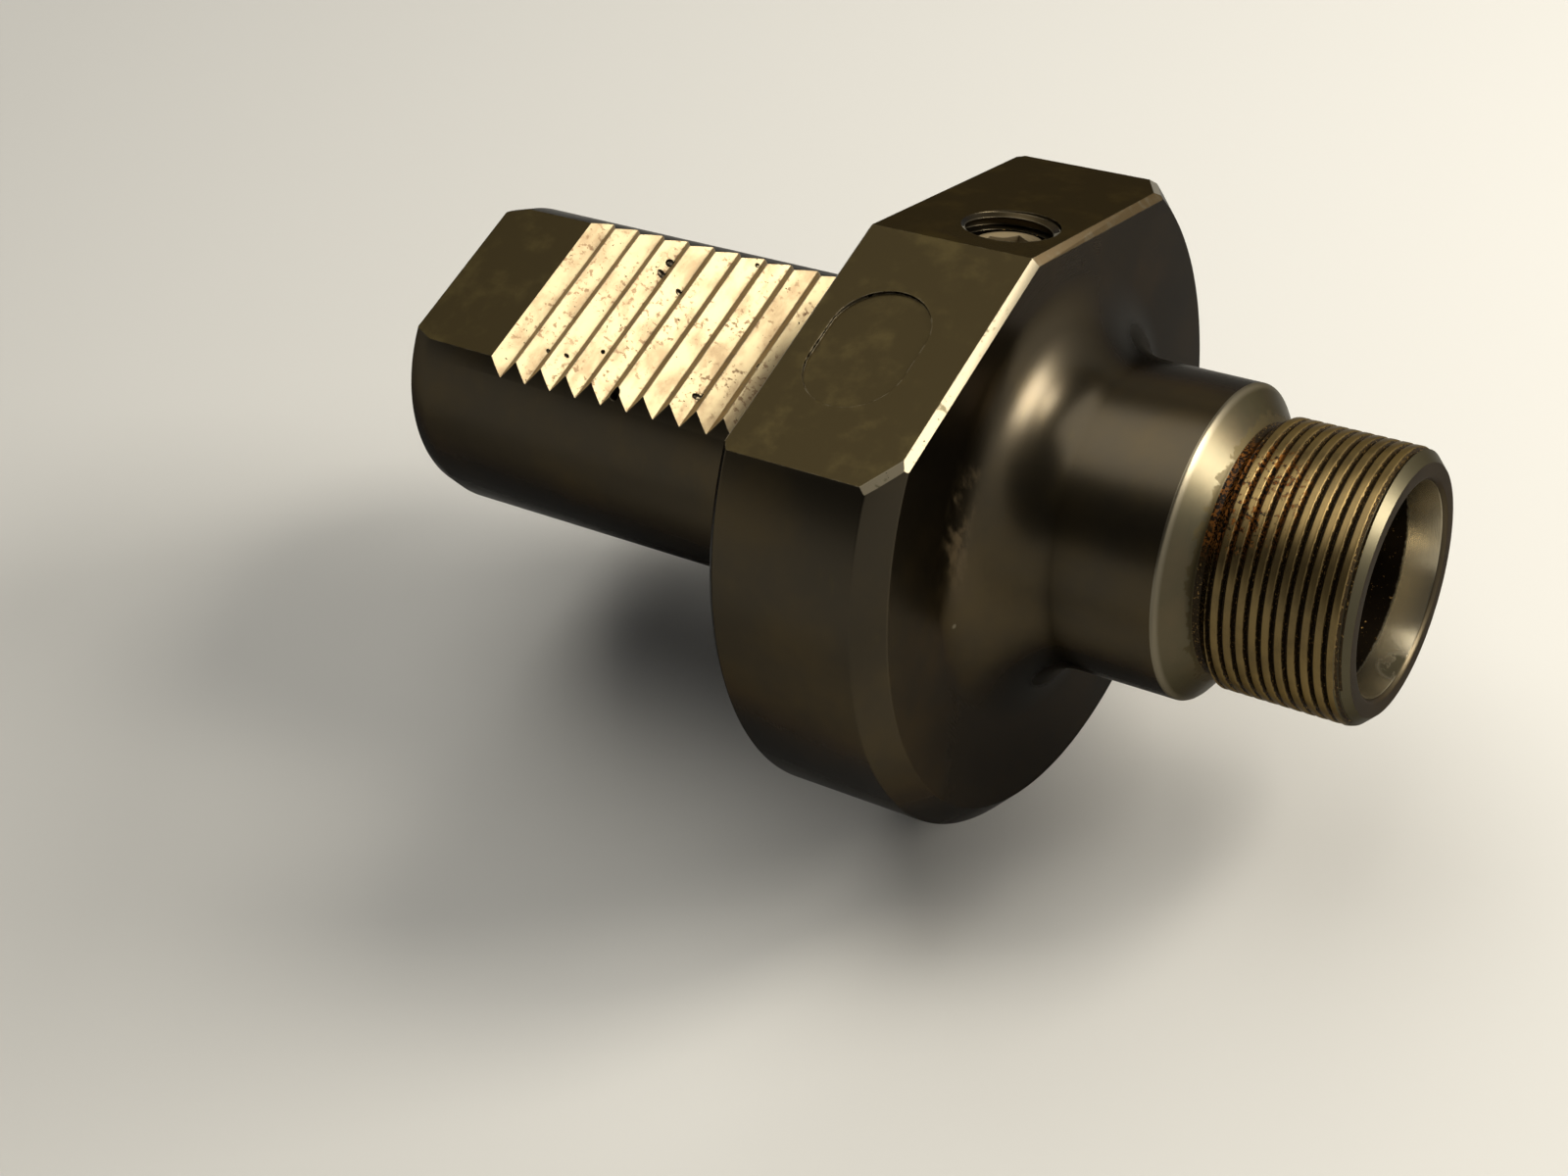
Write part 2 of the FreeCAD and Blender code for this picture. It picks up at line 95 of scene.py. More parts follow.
def colour(label, hex_colour, text):
    """A colour property, given as sRGB hex."""
    return bpy.props.FloatVectorProperty(
        name=label, description=text, default=linear(hex_colour), size=4, subtype="COLOR",
        min=0.0, max=1.0
    )


class ShankSizes(bpy.types.PropertyGroup):
    """Sizes of the serrated shank."""

    radius: length("Radius", 20.0, "Radius of the ground shank")
    reach: length("Length", 63.0, "From the flange's rear face to the shank's end")
    lead_in: length("Lead-in length", 3.0, "Length of the slight taper at the shank's end")
    lead_in_depth: length("Lead-in depth", 0.75, "How much that taper takes off the radius")
    flat_height: length("Flat height", 16.0, "Height of the toothed flat above the axis")
    tooth_pitch: length("Tooth pitch", 4.0, "Distance from one tooth crest to the next")
    tooth_depth: length("Tooth depth", 1.6, "Depth of the V grooves")
    tooth_count: bpy.props.IntProperty(
        name="Grooves", description="Number of V grooves", default=10, min=1
    )
    crest_wear: length("Crest wear", 0.10, "Width of the worn land on each tooth crest")
    plain_flat: length("Plain flat", 13.3, "Length of the flat without teeth at the shank's end")
    collar: length("Collar", 7.0, "Full round length between the flat and the flange")
    groove_width: length("Groove width", 1.0, "Width of the groove beside the collar")
    groove_depth: length("Groove depth", 0.3, "Depth of that groove")


class FlangeSizes(bpy.types.PropertyGroup):
    """Sizes of the flange, its flats and what is sunk in them."""

    radius: length("Radius", 41.5, "Radius of the flange")
    thickness: length("Thickness", 22.0, "Thickness of the flange")
    front_chamfer: length("Front chamfer", 3.0, "Chamfer round the front edge")
    rear_chamfer: length("Rear chamfer", 1.0, "Chamfer round the rear edge")
    flat_height: length("Flat height", 32.0, "Distance of both flats from the axis")
    flat_tilt: bpy.props.FloatProperty(
        name="Flat tilt", description="Angle between the two flats",
        default=math.radians(30), subtype="ANGLE"
    )
    front_bevel: length("Front bevel", 0.85, "Bevel along the front edges of the flats")
    corner_bevel: length("Corner bevel", 0.28, "Depth of the bevel across the front chamfer")
    rear_bevel: length("Rear bevel", 0.3, "Bevel along the rear edges of the flats")
    recess_width: length("Recess width", 12.3, "Width of the round-ended recess")
    recess_length: length("Recess length", 17.2, "Length of the round-ended recess")
    recess_depth: length("Recess depth", 0.4, "Depth of the round-ended recess")
    recess_setback: length("Recess setback", 9.2, "From the rear face to the recess's middle")
    recess_offset: length("Recess offset", 8.7, "From the axis to the recess's middle")
    hole_setback: length("Hole setback", 13.45, "From the rear face to the plug hole's axis")
    hole_radius: length("Hole radius", 5.1, "Inside radius of the plug hole's thread")
    hole_thread_radius: length("Hole thread radius", 6.0, "Outside radius of that thread")
    hole_chamfer: length("Hole chamfer", 0.15, "Chamfer round the plug hole")
    hole_depth: length("Hole depth", 12.0, "Depth of the plug hole's thread")
    gallery_radius: length("Gallery radius", 3.0, "Radius of the drilled coolant gallery")
    gallery_end: length("Gallery end", 34.5, "From the axis to the gallery's blind end")
    inlet_radius: length("Inlet radius", 4.0, "Radius of the coolant inlet")
    inlet_circle: length("Inlet circle", 31.5, "From the axis to the inlet's axis")
    seal_floor: length("Seal floor", 2.88, "Depth of the seal recess in the rear face")
    seal_inside: length("Seal inside", 19.5, "Inside radius of the seal recess")
    seal_outside: length("Seal outside", 23.15, "Outside radius of the seal recess")


class NoseSizes(bpy.types.PropertyGroup):
    """Sizes of the neck and the threaded nose."""

    neck_radius: length("Neck radius", 18.8, "Radius of the neck")
    neck_reach: length("Neck reach", 43.7, "From the flange's rear face to the neck's end")
    neck_fillet: length("Neck fillet", 9.0, "Radius of the fillet between flange and neck")
    bevel_length: length("Bevel length", 3.0, "Length of the cone at the neck's end")
    relief_radius: length("Relief radius", 14.8, "Radius of the groove behind the thread")
    relief_width: length("Relief width", 0.8, "Width of that groove")
    thread_radius: length("Thread radius", 16.0, "Outside radius of the nose thread")
    thread_pitch: length("Thread pitch", 1.5, "Pitch of the nose thread")
    thread_depth: length("Thread depth", 0.62, "Depth of the worn nose thread")
    reach: length("Reach", 65.0, "From the flange's rear face to the nose's end")
    chamfer: length("Chamfer", 1.4, "Chamfer round the nose's end")


class BoreSizes(bpy.types.PropertyGroup):
    """Sizes of the collet seat and of the bores behind it."""

    mouth_radius: length("Mouth radius", 12.5, "Radius of the collet seat at its mouth")
    mouth_bevel: length("Mouth bevel", 0.4, "Bevel round the mouth")
    seat_angle: bpy.props.FloatProperty(
        name="Seat half angle", description="Half angle of the collet seat",
        default=math.radians(8), subtype="ANGLE"
    )
    stop_radius: length("Stop bore radius", 9.0, "Radius of the bore of the stop screw's head")
    stop_floor: length("Stop bore floor", 28.0, "From the flange's rear face to its floor")
    stop_thread_radius: length("Stop thread radius", 7.2, "Inside radius of its thread")
    stop_thread_length: length("Stop thread length", 11.0, "Length of its thread")
    through_radius: length("Through radius", 6.5, "Radius of the through bore")
    rear_radius: length("Rear radius", 9.2, "Inside radius of the rear plug's thread")
    rear_depth: length("Rear depth", 14.0, "Depth of the rear plug's thread")
    rear_bevel: length("Rear bevel", 0.8, "Bevel round the rear plug's hole")


# How far corners are rounded: on the turned body, on its neck, and on the stop screw
BODY_EASE = 0.16 * MM
NECK_EASE = 0.25 * MM
SCREW_EASE = 0.1 * MM


def joined_outline(*parts):
    """One list of (along, radius) pairs from several."""
    return [pair for part in parts for pair in part]


def eased(outline, amount, steps=3):
    """Round each clear corner inside an open outline by a small radius."""
    points = [Vector(pair) for pair in outline]
    result = [points[0]]
    for before, corner, after in zip(points, points[1:], points[2:]):
        back, ahead = before - corner, after - corner
        turn = math.pi - back.angle(ahead, 0.0)
        reach = min(amount, back.length * 0.4, ahead.length * 0.4)
        if turn < SHARP_ANGLE or reach < WELD:
            result.append(corner)
            continue
        start, end = corner + back.normalized() * reach, corner + ahead.normalized() * reach
        for step in range(steps + 1):
            share = step / steps
            first, last = start.lerp(corner, share), corner.lerp(end, share)
            result.append(first.lerp(last, share))
    result.append(points[-1])
    return [tuple(point) for point in result]


def arc(centre, radius, start_angle, end_angle, steps):
    """Points of an arc in the (along, radius) plane, both ends included."""
    turns = [start_angle + (end_angle - start_angle) * step / steps for step in range(steps + 1)]
    return [(centre[0] + radius * math.cos(turn), centre[1] + radius * math.sin(turn))
            for turn in turns]


def ring(shape, along, radius, columns):
    """A row of vertices round the X axis, or a single one on it."""
    if radius < WELD:
        return [shape.verts.new((along, 0.0, 0.0))]
    turns = [2 * math.pi * column / columns for column in range(columns)]
    return [shape.verts.new((along, -radius * math.sin(turn), radius * math.cos(turn)))
            for turn in turns]


def bridge(shape, first, last):
    """Faces between two rows of a turned surface."""
    count = max(len(first), len(last))
    for column in range(count):
        after = (column + 1) % count
        corners = [first[column % len(first)], first[after % len(first)],
                   last[after % len(last)], last[column % len(last)]]
        shape.faces.new(list(dict.fromkeys(corners)))


def add_turned(shape, outline, columns):
    """Add an outline turned about the X axis."""
    rows = [ring(shape, along, radius, columns) for along, radius in outline]
    for first, last in zip(rows, rows[1:]):
        bridge(shape, first, last)


# One pitch of a worn thread: share of the pitch, and share of the depth below the crest
THREAD_FORM = (
    (0.00, 0.14), (0.04, 0.03), (0.09, 0.00), (0.49, 0.00), (0.54, 0.03),
    (0.58, 0.14), (0.74, 0.93), (0.77, 1.00), (0.81, 1.00), (0.84, 0.93),
)


def thread_depth_at(phase):
    """Share of the thread's depth at a place in its pitch, from 0 on the crest to 1."""
    phase %= 1.0
    form = THREAD_FORM + ((1.0, THREAD_FORM[0][1]),)
    for (start, shallow), (end, deep) in zip(form, form[1:]):
        if phase <= end:
            return shallow + (deep - shallow) * (phase - start) / (end - start)
    return form[-1][1]


def add_thread(shape, start, end, pitch, radius_at, columns):
    """Add a right-hand threaded surface from start to end along the X axis.

    radius_at gives the radius from the place along the axis and the share of the thread's
    depth there. Each row of vertices follows the helix, so that crests and roots stay crisp.
    """
    per_turn = len(THREAD_FORM)
    rows = per_turn * (math.ceil((end - start) / pitch) + 1)
    grid = []
    for row in range(rows + 1):
        turn, place = divmod(row, per_turn)
        line = []
        for column in range(columns):
            swept = column / columns
            along = start + (turn + THREAD_FORM[place][0] - 1 + swept) * pitch
            along = min(max(along, start), end)
            depth = thread_depth_at((along - start) / pitch - swept)
            radius = radius_at(along, depth)
            angle = 2 * math.pi * swept
            line.append(shape.verts.new((along, -radius * math.sin(angle), radius * math.cos(angle))))
        grid.append(line)
    for row in range(rows):
        for column in range(columns):
            if column < columns - 1:
                corners = [grid[row][column], grid[row][column + 1],
                           grid[row + 1][column + 1], grid[row + 1][column]]
            else:
                wrapped = [min(row + per_turn, rows), min(row + 1 + per_turn, rows)]
                corners = [grid[row][column], grid[wrapped[0]][0],
                           grid[wrapped[1]][0], grid[row + 1][column]]
            if len(set(corners)) > 2:
                shape.faces.new(list(dict.fromkeys(corners)))


def finished_mesh(shape, name):
    """Weld, clean and orient a shape, and turn it into a mesh."""
    bmesh.ops.remove_doubles(shape, verts=shape.verts, dist=WELD)
    bmesh.ops.dissolve_degenerate(shape, edges=shape.edges, dist=WELD / 10)
    bmesh.ops.recalc_face_normals(shape, faces=shape.faces)
    mesh = bpy.data.meshes.new(name)
    shape.to_mesh(mesh)
    shape.free()
    return mesh


def prism(name, outline, low, high, matrix):
    """A closed prism: a flat outline pushed along its own Z from low to high, then placed."""
    shape = bmesh.new()
    bottom = [shape.verts.new((across, up, low)) for across, up in outline]
    top = [shape.verts.new((across, up, high)) for across, up in outline]
    shape.faces.new(bottom)
    shape.faces.new(top)
    for place in range(len(outline)):
        after = (place + 1) % len(outline)
        shape.faces.new([bottom[place], bottom[after], top[after], top[place]])
    shape.transform(matrix)
    return bpy.data.objects.new(name, finished_mesh(shape, name))


def cut(mesh, name, cutters):
    """The mesh with every cutter taken out of it."""
    scene = bpy.context.scene
    work = bpy.data.objects.new(name, mesh)
    for item in (work, *cutters):
        scene.collection.objects.link(item)
    for cutter in cutters:
        modifier = work.modifiers.new(cutter.name, "BOOLEAN")
        modifier.operation = "DIFFERENCE"
        modifier.solver = "EXACT"
        modifier.object = cutter
    seen = work.evaluated_get(bpy.context.evaluated_depsgraph_get())
    result = bpy.data.meshes.new_from_object(seen)
    for item in (work, *cutters):
        old = item.data
        bpy.data.objects.remove(item)
        bpy.data.meshes.remove(old)
    return result


def tilted(sizes):
    """The turn from the first flat's place to the second's."""
    return Matrix.Rotation(-sizes.flat_tilt, 4, "X")


# Turns the X axis of a screw or drill to +Z
UPRIGHT = Matrix.Rotation(-math.pi / 2, 4, "Y")
# Stand a flat outline in the YZ plane, pushed along X, or in the XZ plane, pushed along Y
ALONG_X = Matrix(((0, 0, 1, 0), (1, 0, 0, 0), (0, 1, 0, 0), (0, 0, 0, 1)))
ALONG_Y = Matrix(((1, 0, 0, 0), (0, 0, -1, 0), (0, 1, 0, 0), (0, 0, 0, 1)))


def body_outline(scene):
    """The turned outline of the holder, from the nose's chamfer inwards and round to the relief."""
    shank, flange = scene.holder_shank, scene.holder_flange
    nose, bore = scene.holder_nose, scene.holder_bore
    seat_front = nose.reach - bore.mouth_bevel
    seat_back = seat_front - (bore.mouth_radius - bore.stop_radius) / math.tan(bore.seat_angle)
    thread_back = bore.stop_floor - bore.stop_thread_length
    shoulder = bore.rear_depth - shank.reach
    cone_end = nose.neck_reach + nose.bevel_length
    inside = [
        (nose.reach, nose.thread_radius - nose.chamfer),
        (nose.reach, bore.mouth_radius + bore.mouth_bevel),
        (seat_front, bore.mouth_radius),
        (seat_back, bore.stop_radius),
        (bore.stop_floor, bore.stop_radius),
        (bore.stop_floor, bore.stop_thread_radius),
        (thread_back, bore.stop_thread_radius),
        (thread_back, bore.through_radius),
        (shoulder, bore.through_radius),
        (shoulder, bore.rear_radius),
        (bore.rear_bevel - shank.reach, bore.rear_radius),
        (-shank.reach, bore.rear_radius + bore.rear_bevel),
    ]
    outside = [
        (-shank.reach, shank.radius - shank.lead_in_depth),
        (shank.lead_in - shank.reach, shank.radius),
        (-shank.collar - shank.groove_width, shank.radius),
        (-shank.collar - shank.groove_width, shank.radius - shank.groove_depth),
        (-shank.collar, shank.radius - shank.groove_depth),
        (-shank.collar, shank.radius),
        (0.0, shank.radius),
        (0.0, flange.seal_inside),
        (flange.seal_floor, flange.seal_inside),
        (flange.seal_floor, flange.seal_outside),
        (0.0, flange.seal_outside),
        (0.0, flange.radius - flange.rear_chamfer),
        (flange.rear_chamfer, flange.radius),
        (flange.thickness - flange.front_chamfer, flange.radius),
        (flange.thickness, flange.radius - flange.front_chamfer),
    ]
    fillet_centre = (flange.thickness + nose.neck_fillet, nose.neck_radius + nose.neck_fillet)
    fillet = arc(fillet_centre, nose.neck_fillet, math.pi, math.pi * 1.5, 24)
    neck = [
        (nose.neck_reach, nose.neck_radius),
        (cone_end, nose.relief_radius),
        (cone_end + nose.relief_width, nose.relief_radius),
    ]
    return joined_outline(
        eased(joined_outline(inside, outside, fillet[:1]), BODY_EASE)[:-1],
        fillet,
        eased(joined_outline(fillet[-1:], neck), NECK_EASE)[1:],
    )


def body_mesh(scene):
    """The turned body with its thread, before anything is milled or drilled."""
    nose = scene.holder_nose
    start = nose.neck_reach + nose.bevel_length + nose.relief_width
    end = nose.reach

    def radius_at(along, depth):
        thread = nose.thread_radius - nose.thread_depth * depth
        lead_in = nose.relief_radius + (along - start)
        chamfer = nose.thread_radius - nose.chamfer + (end - along)
        return min(thread, lead_in, chamfer)

    shape = bmesh.new()
    add_turned(shape, body_outline(scene), TURNED_COLUMNS)
    add_thread(shape, start, end, nose.thread_pitch, radius_at, TURNED_COLUMNS)
    return finished_mesh(shape, "holder_blank")


def flat_cutters(scene):
    """Cutters for the two flats of the flange and the bevels along their edges."""
    flange = scene.holder_flange
    height, thick, wide = flange.flat_height, flange.thickness, flange.radius + OVERSHOOT
    front, rear = flange.front_bevel + OVERSHOOT, flange.rear_bevel + OVERSHOOT
    cutters = []
    for name, turn in (("plate", Matrix.Identity(4)), ("plug", tilted(flange))):
        flat = [(-wide, height), (wide, height), (wide, wide), (-wide, wide)]
        cutters.append(prism(f"{name}_flat", flat, -OVERSHOOT, thick + OVERSHOOT, turn @ ALONG_X))
        front_edge = [(thick - front, height + OVERSHOOT), (thick + OVERSHOOT, height - front),
                      (thick + OVERSHOOT, height + OVERSHOOT)]
        cutters.append(prism(f"{name}_front", front_edge, -wide, wide, turn @ ALONG_Y))
        rear_edge = [(rear, height + OVERSHOOT), (-OVERSHOOT, height + OVERSHOOT),
                     (-OVERSHOOT, height - rear)]
        cutters.append(prism(f"{name}_rear", rear_edge, -wide, wide, turn @ ALONG_Y))
    return cutters


def corner_cutters(scene):
    """Cutters that carry the front bevel of each flat on across the flange's front chamfer."""
    flange = scene.holder_flange
    height, inner = flange.flat_height, flange.radius - flange.front_chamfer
    # each cutter is a block that reaches this far to all sides of the bevel's middle
    half = 5 * MM
    cutters = []
    for name, side, turn in (("plate", -1, Matrix.Identity(4)), ("plug", 1, tilted(flange))):
        start = Vector((flange.thickness, side * math.sqrt(inner ** 2 - height ** 2), height))
        end = Vector((flange.thickness - flange.front_chamfer,
                      side * math.sqrt(flange.radius ** 2 - height ** 2), height))
        along, middle = (end - start).normalized(), (start + end) / 2
        slope = Vector((1.0, middle.y / inner, height / inner)).normalized()
        square = (slope + Vector((0.0, 0.0, 1.0))).normalized()
        across = square.cross(along).normalized()
        basis = Matrix((across.cross(square), across, square)).transposed().to_4x4()
        place = Matrix.Translation(middle - square * flange.corner_bevel) @ basis
        outline = [(-half, -half), (half, -half), (half, half), (-half, half)]
        cutters.append(prism(f"{name}_corner", outline, 0.0, half, turn @ place))
    return cutters


# Chips knocked out of the tooth crests, in millimetres: place along the shank, place across
# it, how far the chip's middle lies below the crests, and its radius
TOOTH_CHIPS = (
    (-35.7, 9.7, 1.2, 0.70),
    (-35.8, 7.7, 1.2, 0.60),
    (-30.2, -12.3, 0.2, 1.05),
    (-14.0, -3.1, 0.8, 0.60),
    (-31.8, 5.6, 1.3, 0.45),
    (-19.6, -9.0, 1.3, 0.50),
    (-23.8, 12.5, 1.2, 0.45),
    (-40.4, -8.4, 1.0, 0.30),
    (-36.1, -6.3, 1.1, 0.32),
    (-43.7, -8.1, 1.4, 0.35),
)


def chip_cutter(scene):
    """One cutter of small uneven lumps that chips the tooth crests."""
    shape = bmesh.new()
    for count, (along, across, drop, size) in enumerate(TOOTH_CHIPS):
        stretch = Matrix.Diagonal((1.0, 1.0 + 0.5 * (count % 3), 0.8, 1.0))
        turn = Matrix.Rotation(count, 4, "Z") @ Matrix.Rotation(0.6 * count, 4, "X")
        height = scene.holder_shank.flat_height - drop * MM
        place = Matrix.Translation((along * MM, across * MM, height)) @ turn @ stretch
        bmesh.ops.create_icosphere(shape, subdivisions=2, radius=size * MM, matrix=place)
    return bpy.data.objects.new("chips", finished_mesh(shape, "chips"))


def tooth_cutter(scene):
    """The cutter of the shank's flat and its row of V grooves, with lightly worn crests."""
    shank = scene.holder_shank
    height, floor = shank.flat_height, shank.flat_height - shank.tooth_depth
    wear = shank.crest_wear / 2
    slope = shank.tooth_depth / (shank.tooth_pitch / 2)
    outline = [(-shank.reach - OVERSHOOT, height)]
    for groove in range(shank.tooth_count):
        crest = -shank.reach + shank.plain_flat + groove * shank.tooth_pitch
        root = crest + shank.tooth_pitch / 2
        if groove:
            outline.append((crest - wear, height - wear * slope))
        outline.append((crest + wear, height - wear * slope))
        outline.append((root - wear, floor + wear * slope))
        outline.append((root + wear, floor + wear * slope))
    outline.append((crest + shank.tooth_pitch, height))
    top = shank.radius + OVERSHOOT
    outline += [(-shank.collar, height), (-shank.collar, top), (-shank.reach - OVERSHOOT, top)]
    wide = shank.radius + OVERSHOOT
    return prism("teeth", outline, -wide, wide, ALONG_Y)


def recess_cutter(scene):
    """The cutter of the shallow round-ended recess in the first flat."""
    flange = scene.holder_flange
    radius = flange.recess_width / 2
    straight = flange.recess_length / 2 - radius
    along, across = flange.recess_setback, -flange.recess_offset
    near_end = arc((along, across - straight), radius, math.pi, 2 * math.pi, 32)
    far_end = arc((along, across + straight), radius, 0.0, math.pi, 32)
    low = flange.flat_height - flange.recess_depth
    return prism("recess", near_end + far_end, low, flange.flat_height + OVERSHOOT, Matrix.Identity(4))


# How deep the bevel round the coolant inlet reaches
INLET_BEVEL = 0.4 * MM


def drill_cutters(scene):
    """Cutters of the threaded plug hole with its gallery, and of the coolant inlet."""
    flange = scene.holder_flange
    top = flange.flat_height + OVERSHOOT
    thread_end = flange.flat_height - flange.hole_depth
    cone_reach = flange.hole_radius + flange.hole_chamfer
    pitch = scene.holder_fasteners.thread_pitch

    def radius_at(along, depth):
        thread = flange.hole_thread_radius - (flange.hole_thread_radius - flange.hole_radius) * depth
        entry = cone_reach - (flange.flat_height - along)
        lead = flange.hole_radius + (along - thread_end)
        return max(entry, min(thread, lead))

    gallery = bmesh.new()
    add_turned(gallery, [(-flange.gallery_end, 0.0), (-flange.gallery_end, flange.gallery_radius),
                         (thread_end, flange.gallery_radius), (thread_end, flange.hole_radius)],
               SCREW_COLUMNS)
    add_thread(gallery, thread_end, top, pitch, radius_at, SCREW_COLUMNS)
    add_turned(gallery, [(top, radius_at(top, 1.0)), (top, 0.0)], SCREW_COLUMNS)
    gallery.transform(tilted(flange) @ Matrix.Translation((flange.hole_setback, 0, 0)) @ UPRIGHT)
    inlet = bmesh.new()
    inlet_end = flange.hole_setback + flange.gallery_radius
    add_turned(inlet, [(-OVERSHOOT, 0.0), (-OVERSHOOT, flange.inlet_radius + OVERSHOOT),
                       (INLET_BEVEL, flange.inlet_radius), (inlet_end, flange.inlet_radius),
                       (inlet_end, 0.0)], SCREW_COLUMNS)
    inlet.transform(tilted(flange) @ Matrix.Translation((0, 0, -flange.inlet_circle)))
    return [
        bpy.data.objects.new("gallery", finished_mesh(gallery, "gallery")),
        bpy.data.objects.new("inlet", finished_mesh(inlet, "inlet")),
    ]


class FastenerSizes(bpy.types.PropertyGroup):
    """Sizes of the two plugs, the stop screw and the ring seals."""

    side_radius: length("Side plug radius", 5.0, "Outside radius of the side plug")
    side_length: length("Side plug length", 8.0, "Length of the side plug")
    side_sink: length("Side plug sink", 1.9, "From the tilted flat down to the side plug")
    side_socket: length("Side plug socket", 6.0, "Width across flats of its socket")
    side_turn: bpy.props.FloatProperty(
        name="Side plug turn", description="How far the side plug is screwed round",
        default=math.radians(37.6), subtype="ANGLE"
    )
    side_socket_depth: length("Side plug socket depth", 4.0, "Depth of its socket")
    rear_radius: length("Rear plug radius", 9.1, "Outside radius of the rear plug")
    rear_length: length("Rear plug length", 9.94, "Length of the rear plug")
    rear_sink: length("Rear plug sink", 2.0, "From the shank's end to the rear plug")
    rear_socket: length("Rear plug socket", 10.0, "Width across flats of its socket")
    rear_socket_depth: length("Rear plug socket depth", 6.0, "Depth of its socket")
    stop_front: length("Stop screw front", 36.0, "From the rear face to the stop screw's head")
    stop_radius: length("Stop screw radius", 7.1, "Outside radius of the stop screw's thread")
    stop_length: length("Stop screw length", 15.8, "Length of the stop screw")
    stop_head_radius: length("Stop head radius", 8.75, "Radius of the stop screw's head")
    stop_head_length: length("Stop head length", 4.5, "Length of the stop screw's head")
    stop_socket: length("Stop screw socket", 8.0, "Width across flats of its socket")
    stop_socket_depth: length("Stop screw socket depth", 6.0, "Depth of its socket")
    stop_hole: length("Stop screw hole", 2.5, "Radius of the coolant hole through it")
    thread_pitch: length("Thread pitch", 1.5, "Pitch of the plugs and of the stop screw")
    thread_depth: length("Thread depth", 0.8, "Depth of their threads")
    bevel: length("Bevel", 0.5, "Bevel on the ends of the plugs and the stop screw")
    groove_half: length("Groove half width", 1.0, "Half the width of the stop seal's groove")
    shank_cord: length("Shank seal cord", 1.5, "Radius of the shank seal's cord")
    stop_cord: length("Stop seal cord", 0.75, "Radius of the stop screw seal's cord")
    rear_cord: length("Rear seal cord", 1.0, "Radius of the rear plug seal's cord")
    seal_gap: length("Seal gap", 0.03, "Clearance between a seal and its groove")
    seal_proud: length("Seal proud", 0.12, "How far the shank seal stands out of its recess")
    flash: length("Mould flash", 0.02, "Height of the fine flash line on a moulded seal")


class FinishColours(bpy.types.PropertyGroup):
    """Colours of the finishes."""

    oxide: colour("Black oxide", "3B352A", "Black oxide on the turned steel")
    oxide_brown: colour("Brown oxide", "473D2A", "Where the oxide has gone brown")
    milled: colour("Milled oxide", "3D3523", "Thinner oxide on the milled flats")
    milled_pale: colour("Rubbed oxide", "494029", "Rubbed patches of the milled flats")
    nose: colour("Nose oxide", "463E2F", "Thin oxide on the end of the nose")
    scuffed: colour("Scuffed oxide", "5E513D", "Scuffs and scratches in the oxide")
    satin: colour("Satin steel", "4F4A3A", "Half bare steel of the cone and chamfers")
    rubbed: colour("Rubbed steel", "75633F", "Golden brown lands of the thread")
    worn: colour("Worn steel", "6E6757", "Bare steel on worn edges")
    bright: colour("Bright steel", "B4AA92", "Ground steel at the mouth of the seat")
    # Bright steel of the tooth faces turned towards the lamps, partly a painted highlight; also used on
    # the rubbed edges of the other flanks
    ground: colour("Ground steel", "AC9E7F", "Clamped, rubbed flanks of the teeth")
    stain: colour("Tooth stain", "7C624A", "Pinkish brown stains on the teeth")
    # Golden brown of the tooth flanks turned away from the lamps, lighter than oxide: painted bounce
    # light from the bright flanks beside them
    away_flank_bounce_light: colour("Shaded flank", "8A6F3C", "Flanks that the clamp does not touch")
    rust: colour("Rust", "7A4E22", "Rust in the first grooves of the thread")
    groove: colour("Groove steel", "33291A", "Brown oxide in the grooves of the thread")
    # A near black that is partly painted shade: it fills the holes, the deep part of the seat and the
    # wall of the recess, beside real dirt in pits, nicks and the thread
    dirt: colour("Oily dirt", "1B1610", "Oil and dirt in holes and pits")
    # Golden grains of metal; in the holes and the deep seat they also stand for glints: painted glints
    grit_and_glints: colour("Golden grit", "B08E55", "Small grains of metal in the oil")
    plug: colour("Plug steel", "75684F", "Oxide on the plugs")
    screw: colour("Stop screw steel", "8E8778", "Oiled steel of the stop screw")
    rubber: colour("Seal rubber", "1C1C1D", "Nitrile rubber of the seals")


def lamp_power(label, watts, text):
    """A lamp's power in watts."""
    return bpy.props.FloatProperty(name=label, description=text, default=watts, min=0, unit="POWER")


class StageSettings(bpy.types.PropertyGroup):
    """The floor, lamps and camera."""

    floor: colour("Floor", "D2D2D0", "Plain pale floor")
    backdrop: colour("Backdrop", "DAD7CF", "The floor and its backdrop seen far from the lamps")
    floor_size: length("Floor size", 4000.0, "Width of the floor")
    floor_bend: length("Floor bend", 600.0, "Radius of the curve between the floor and its backdrop")
    lit_radius: length("Lit radius", 250.0, "Radius of the floor round the holder that is seen as lit")
    key_power: lamp_power("Key power", 1.8, "Power of the warm key lamp in watts")
    key_size: length("Key size", 150.0, "Width of the key lamp")
    side_power: lamp_power("Side power", 1.25, "Power of the low side lamp in watts")
    side_size: length("Side size", 240.0, "Width of the side lamp")
    fill_power: lamp_power("Fill power", 2.7, "Power of the wide fill lamp in watts")
    fill_size: length("Fill size", 560.0, "Width of the fill lamp")
    ambient: bpy.props.FloatProperty(
        name="Ambient", description="Strength of the grey surroundings", default=0.07, min=0
    )
    lens: bpy.props.FloatProperty(
        name="Lens", description="Focal length in millimetres on a 36 mm sensor",
        default=55.70, min=1.0
    )


def add_node(tree, kind, inputs=None, **settings):
    """Add one node; each input is a constant or the output socket that feeds it."""
    item = tree.nodes.new(kind)
    for name, value in settings.items():
        setattr(item, name, value)
    for socket, value in (inputs or {}).items():
        if isinstance(value, bpy.types.NodeSocket):
            tree.links.new(value, item.inputs[socket])
        else:
            item.inputs[socket].default_value = value
    return item


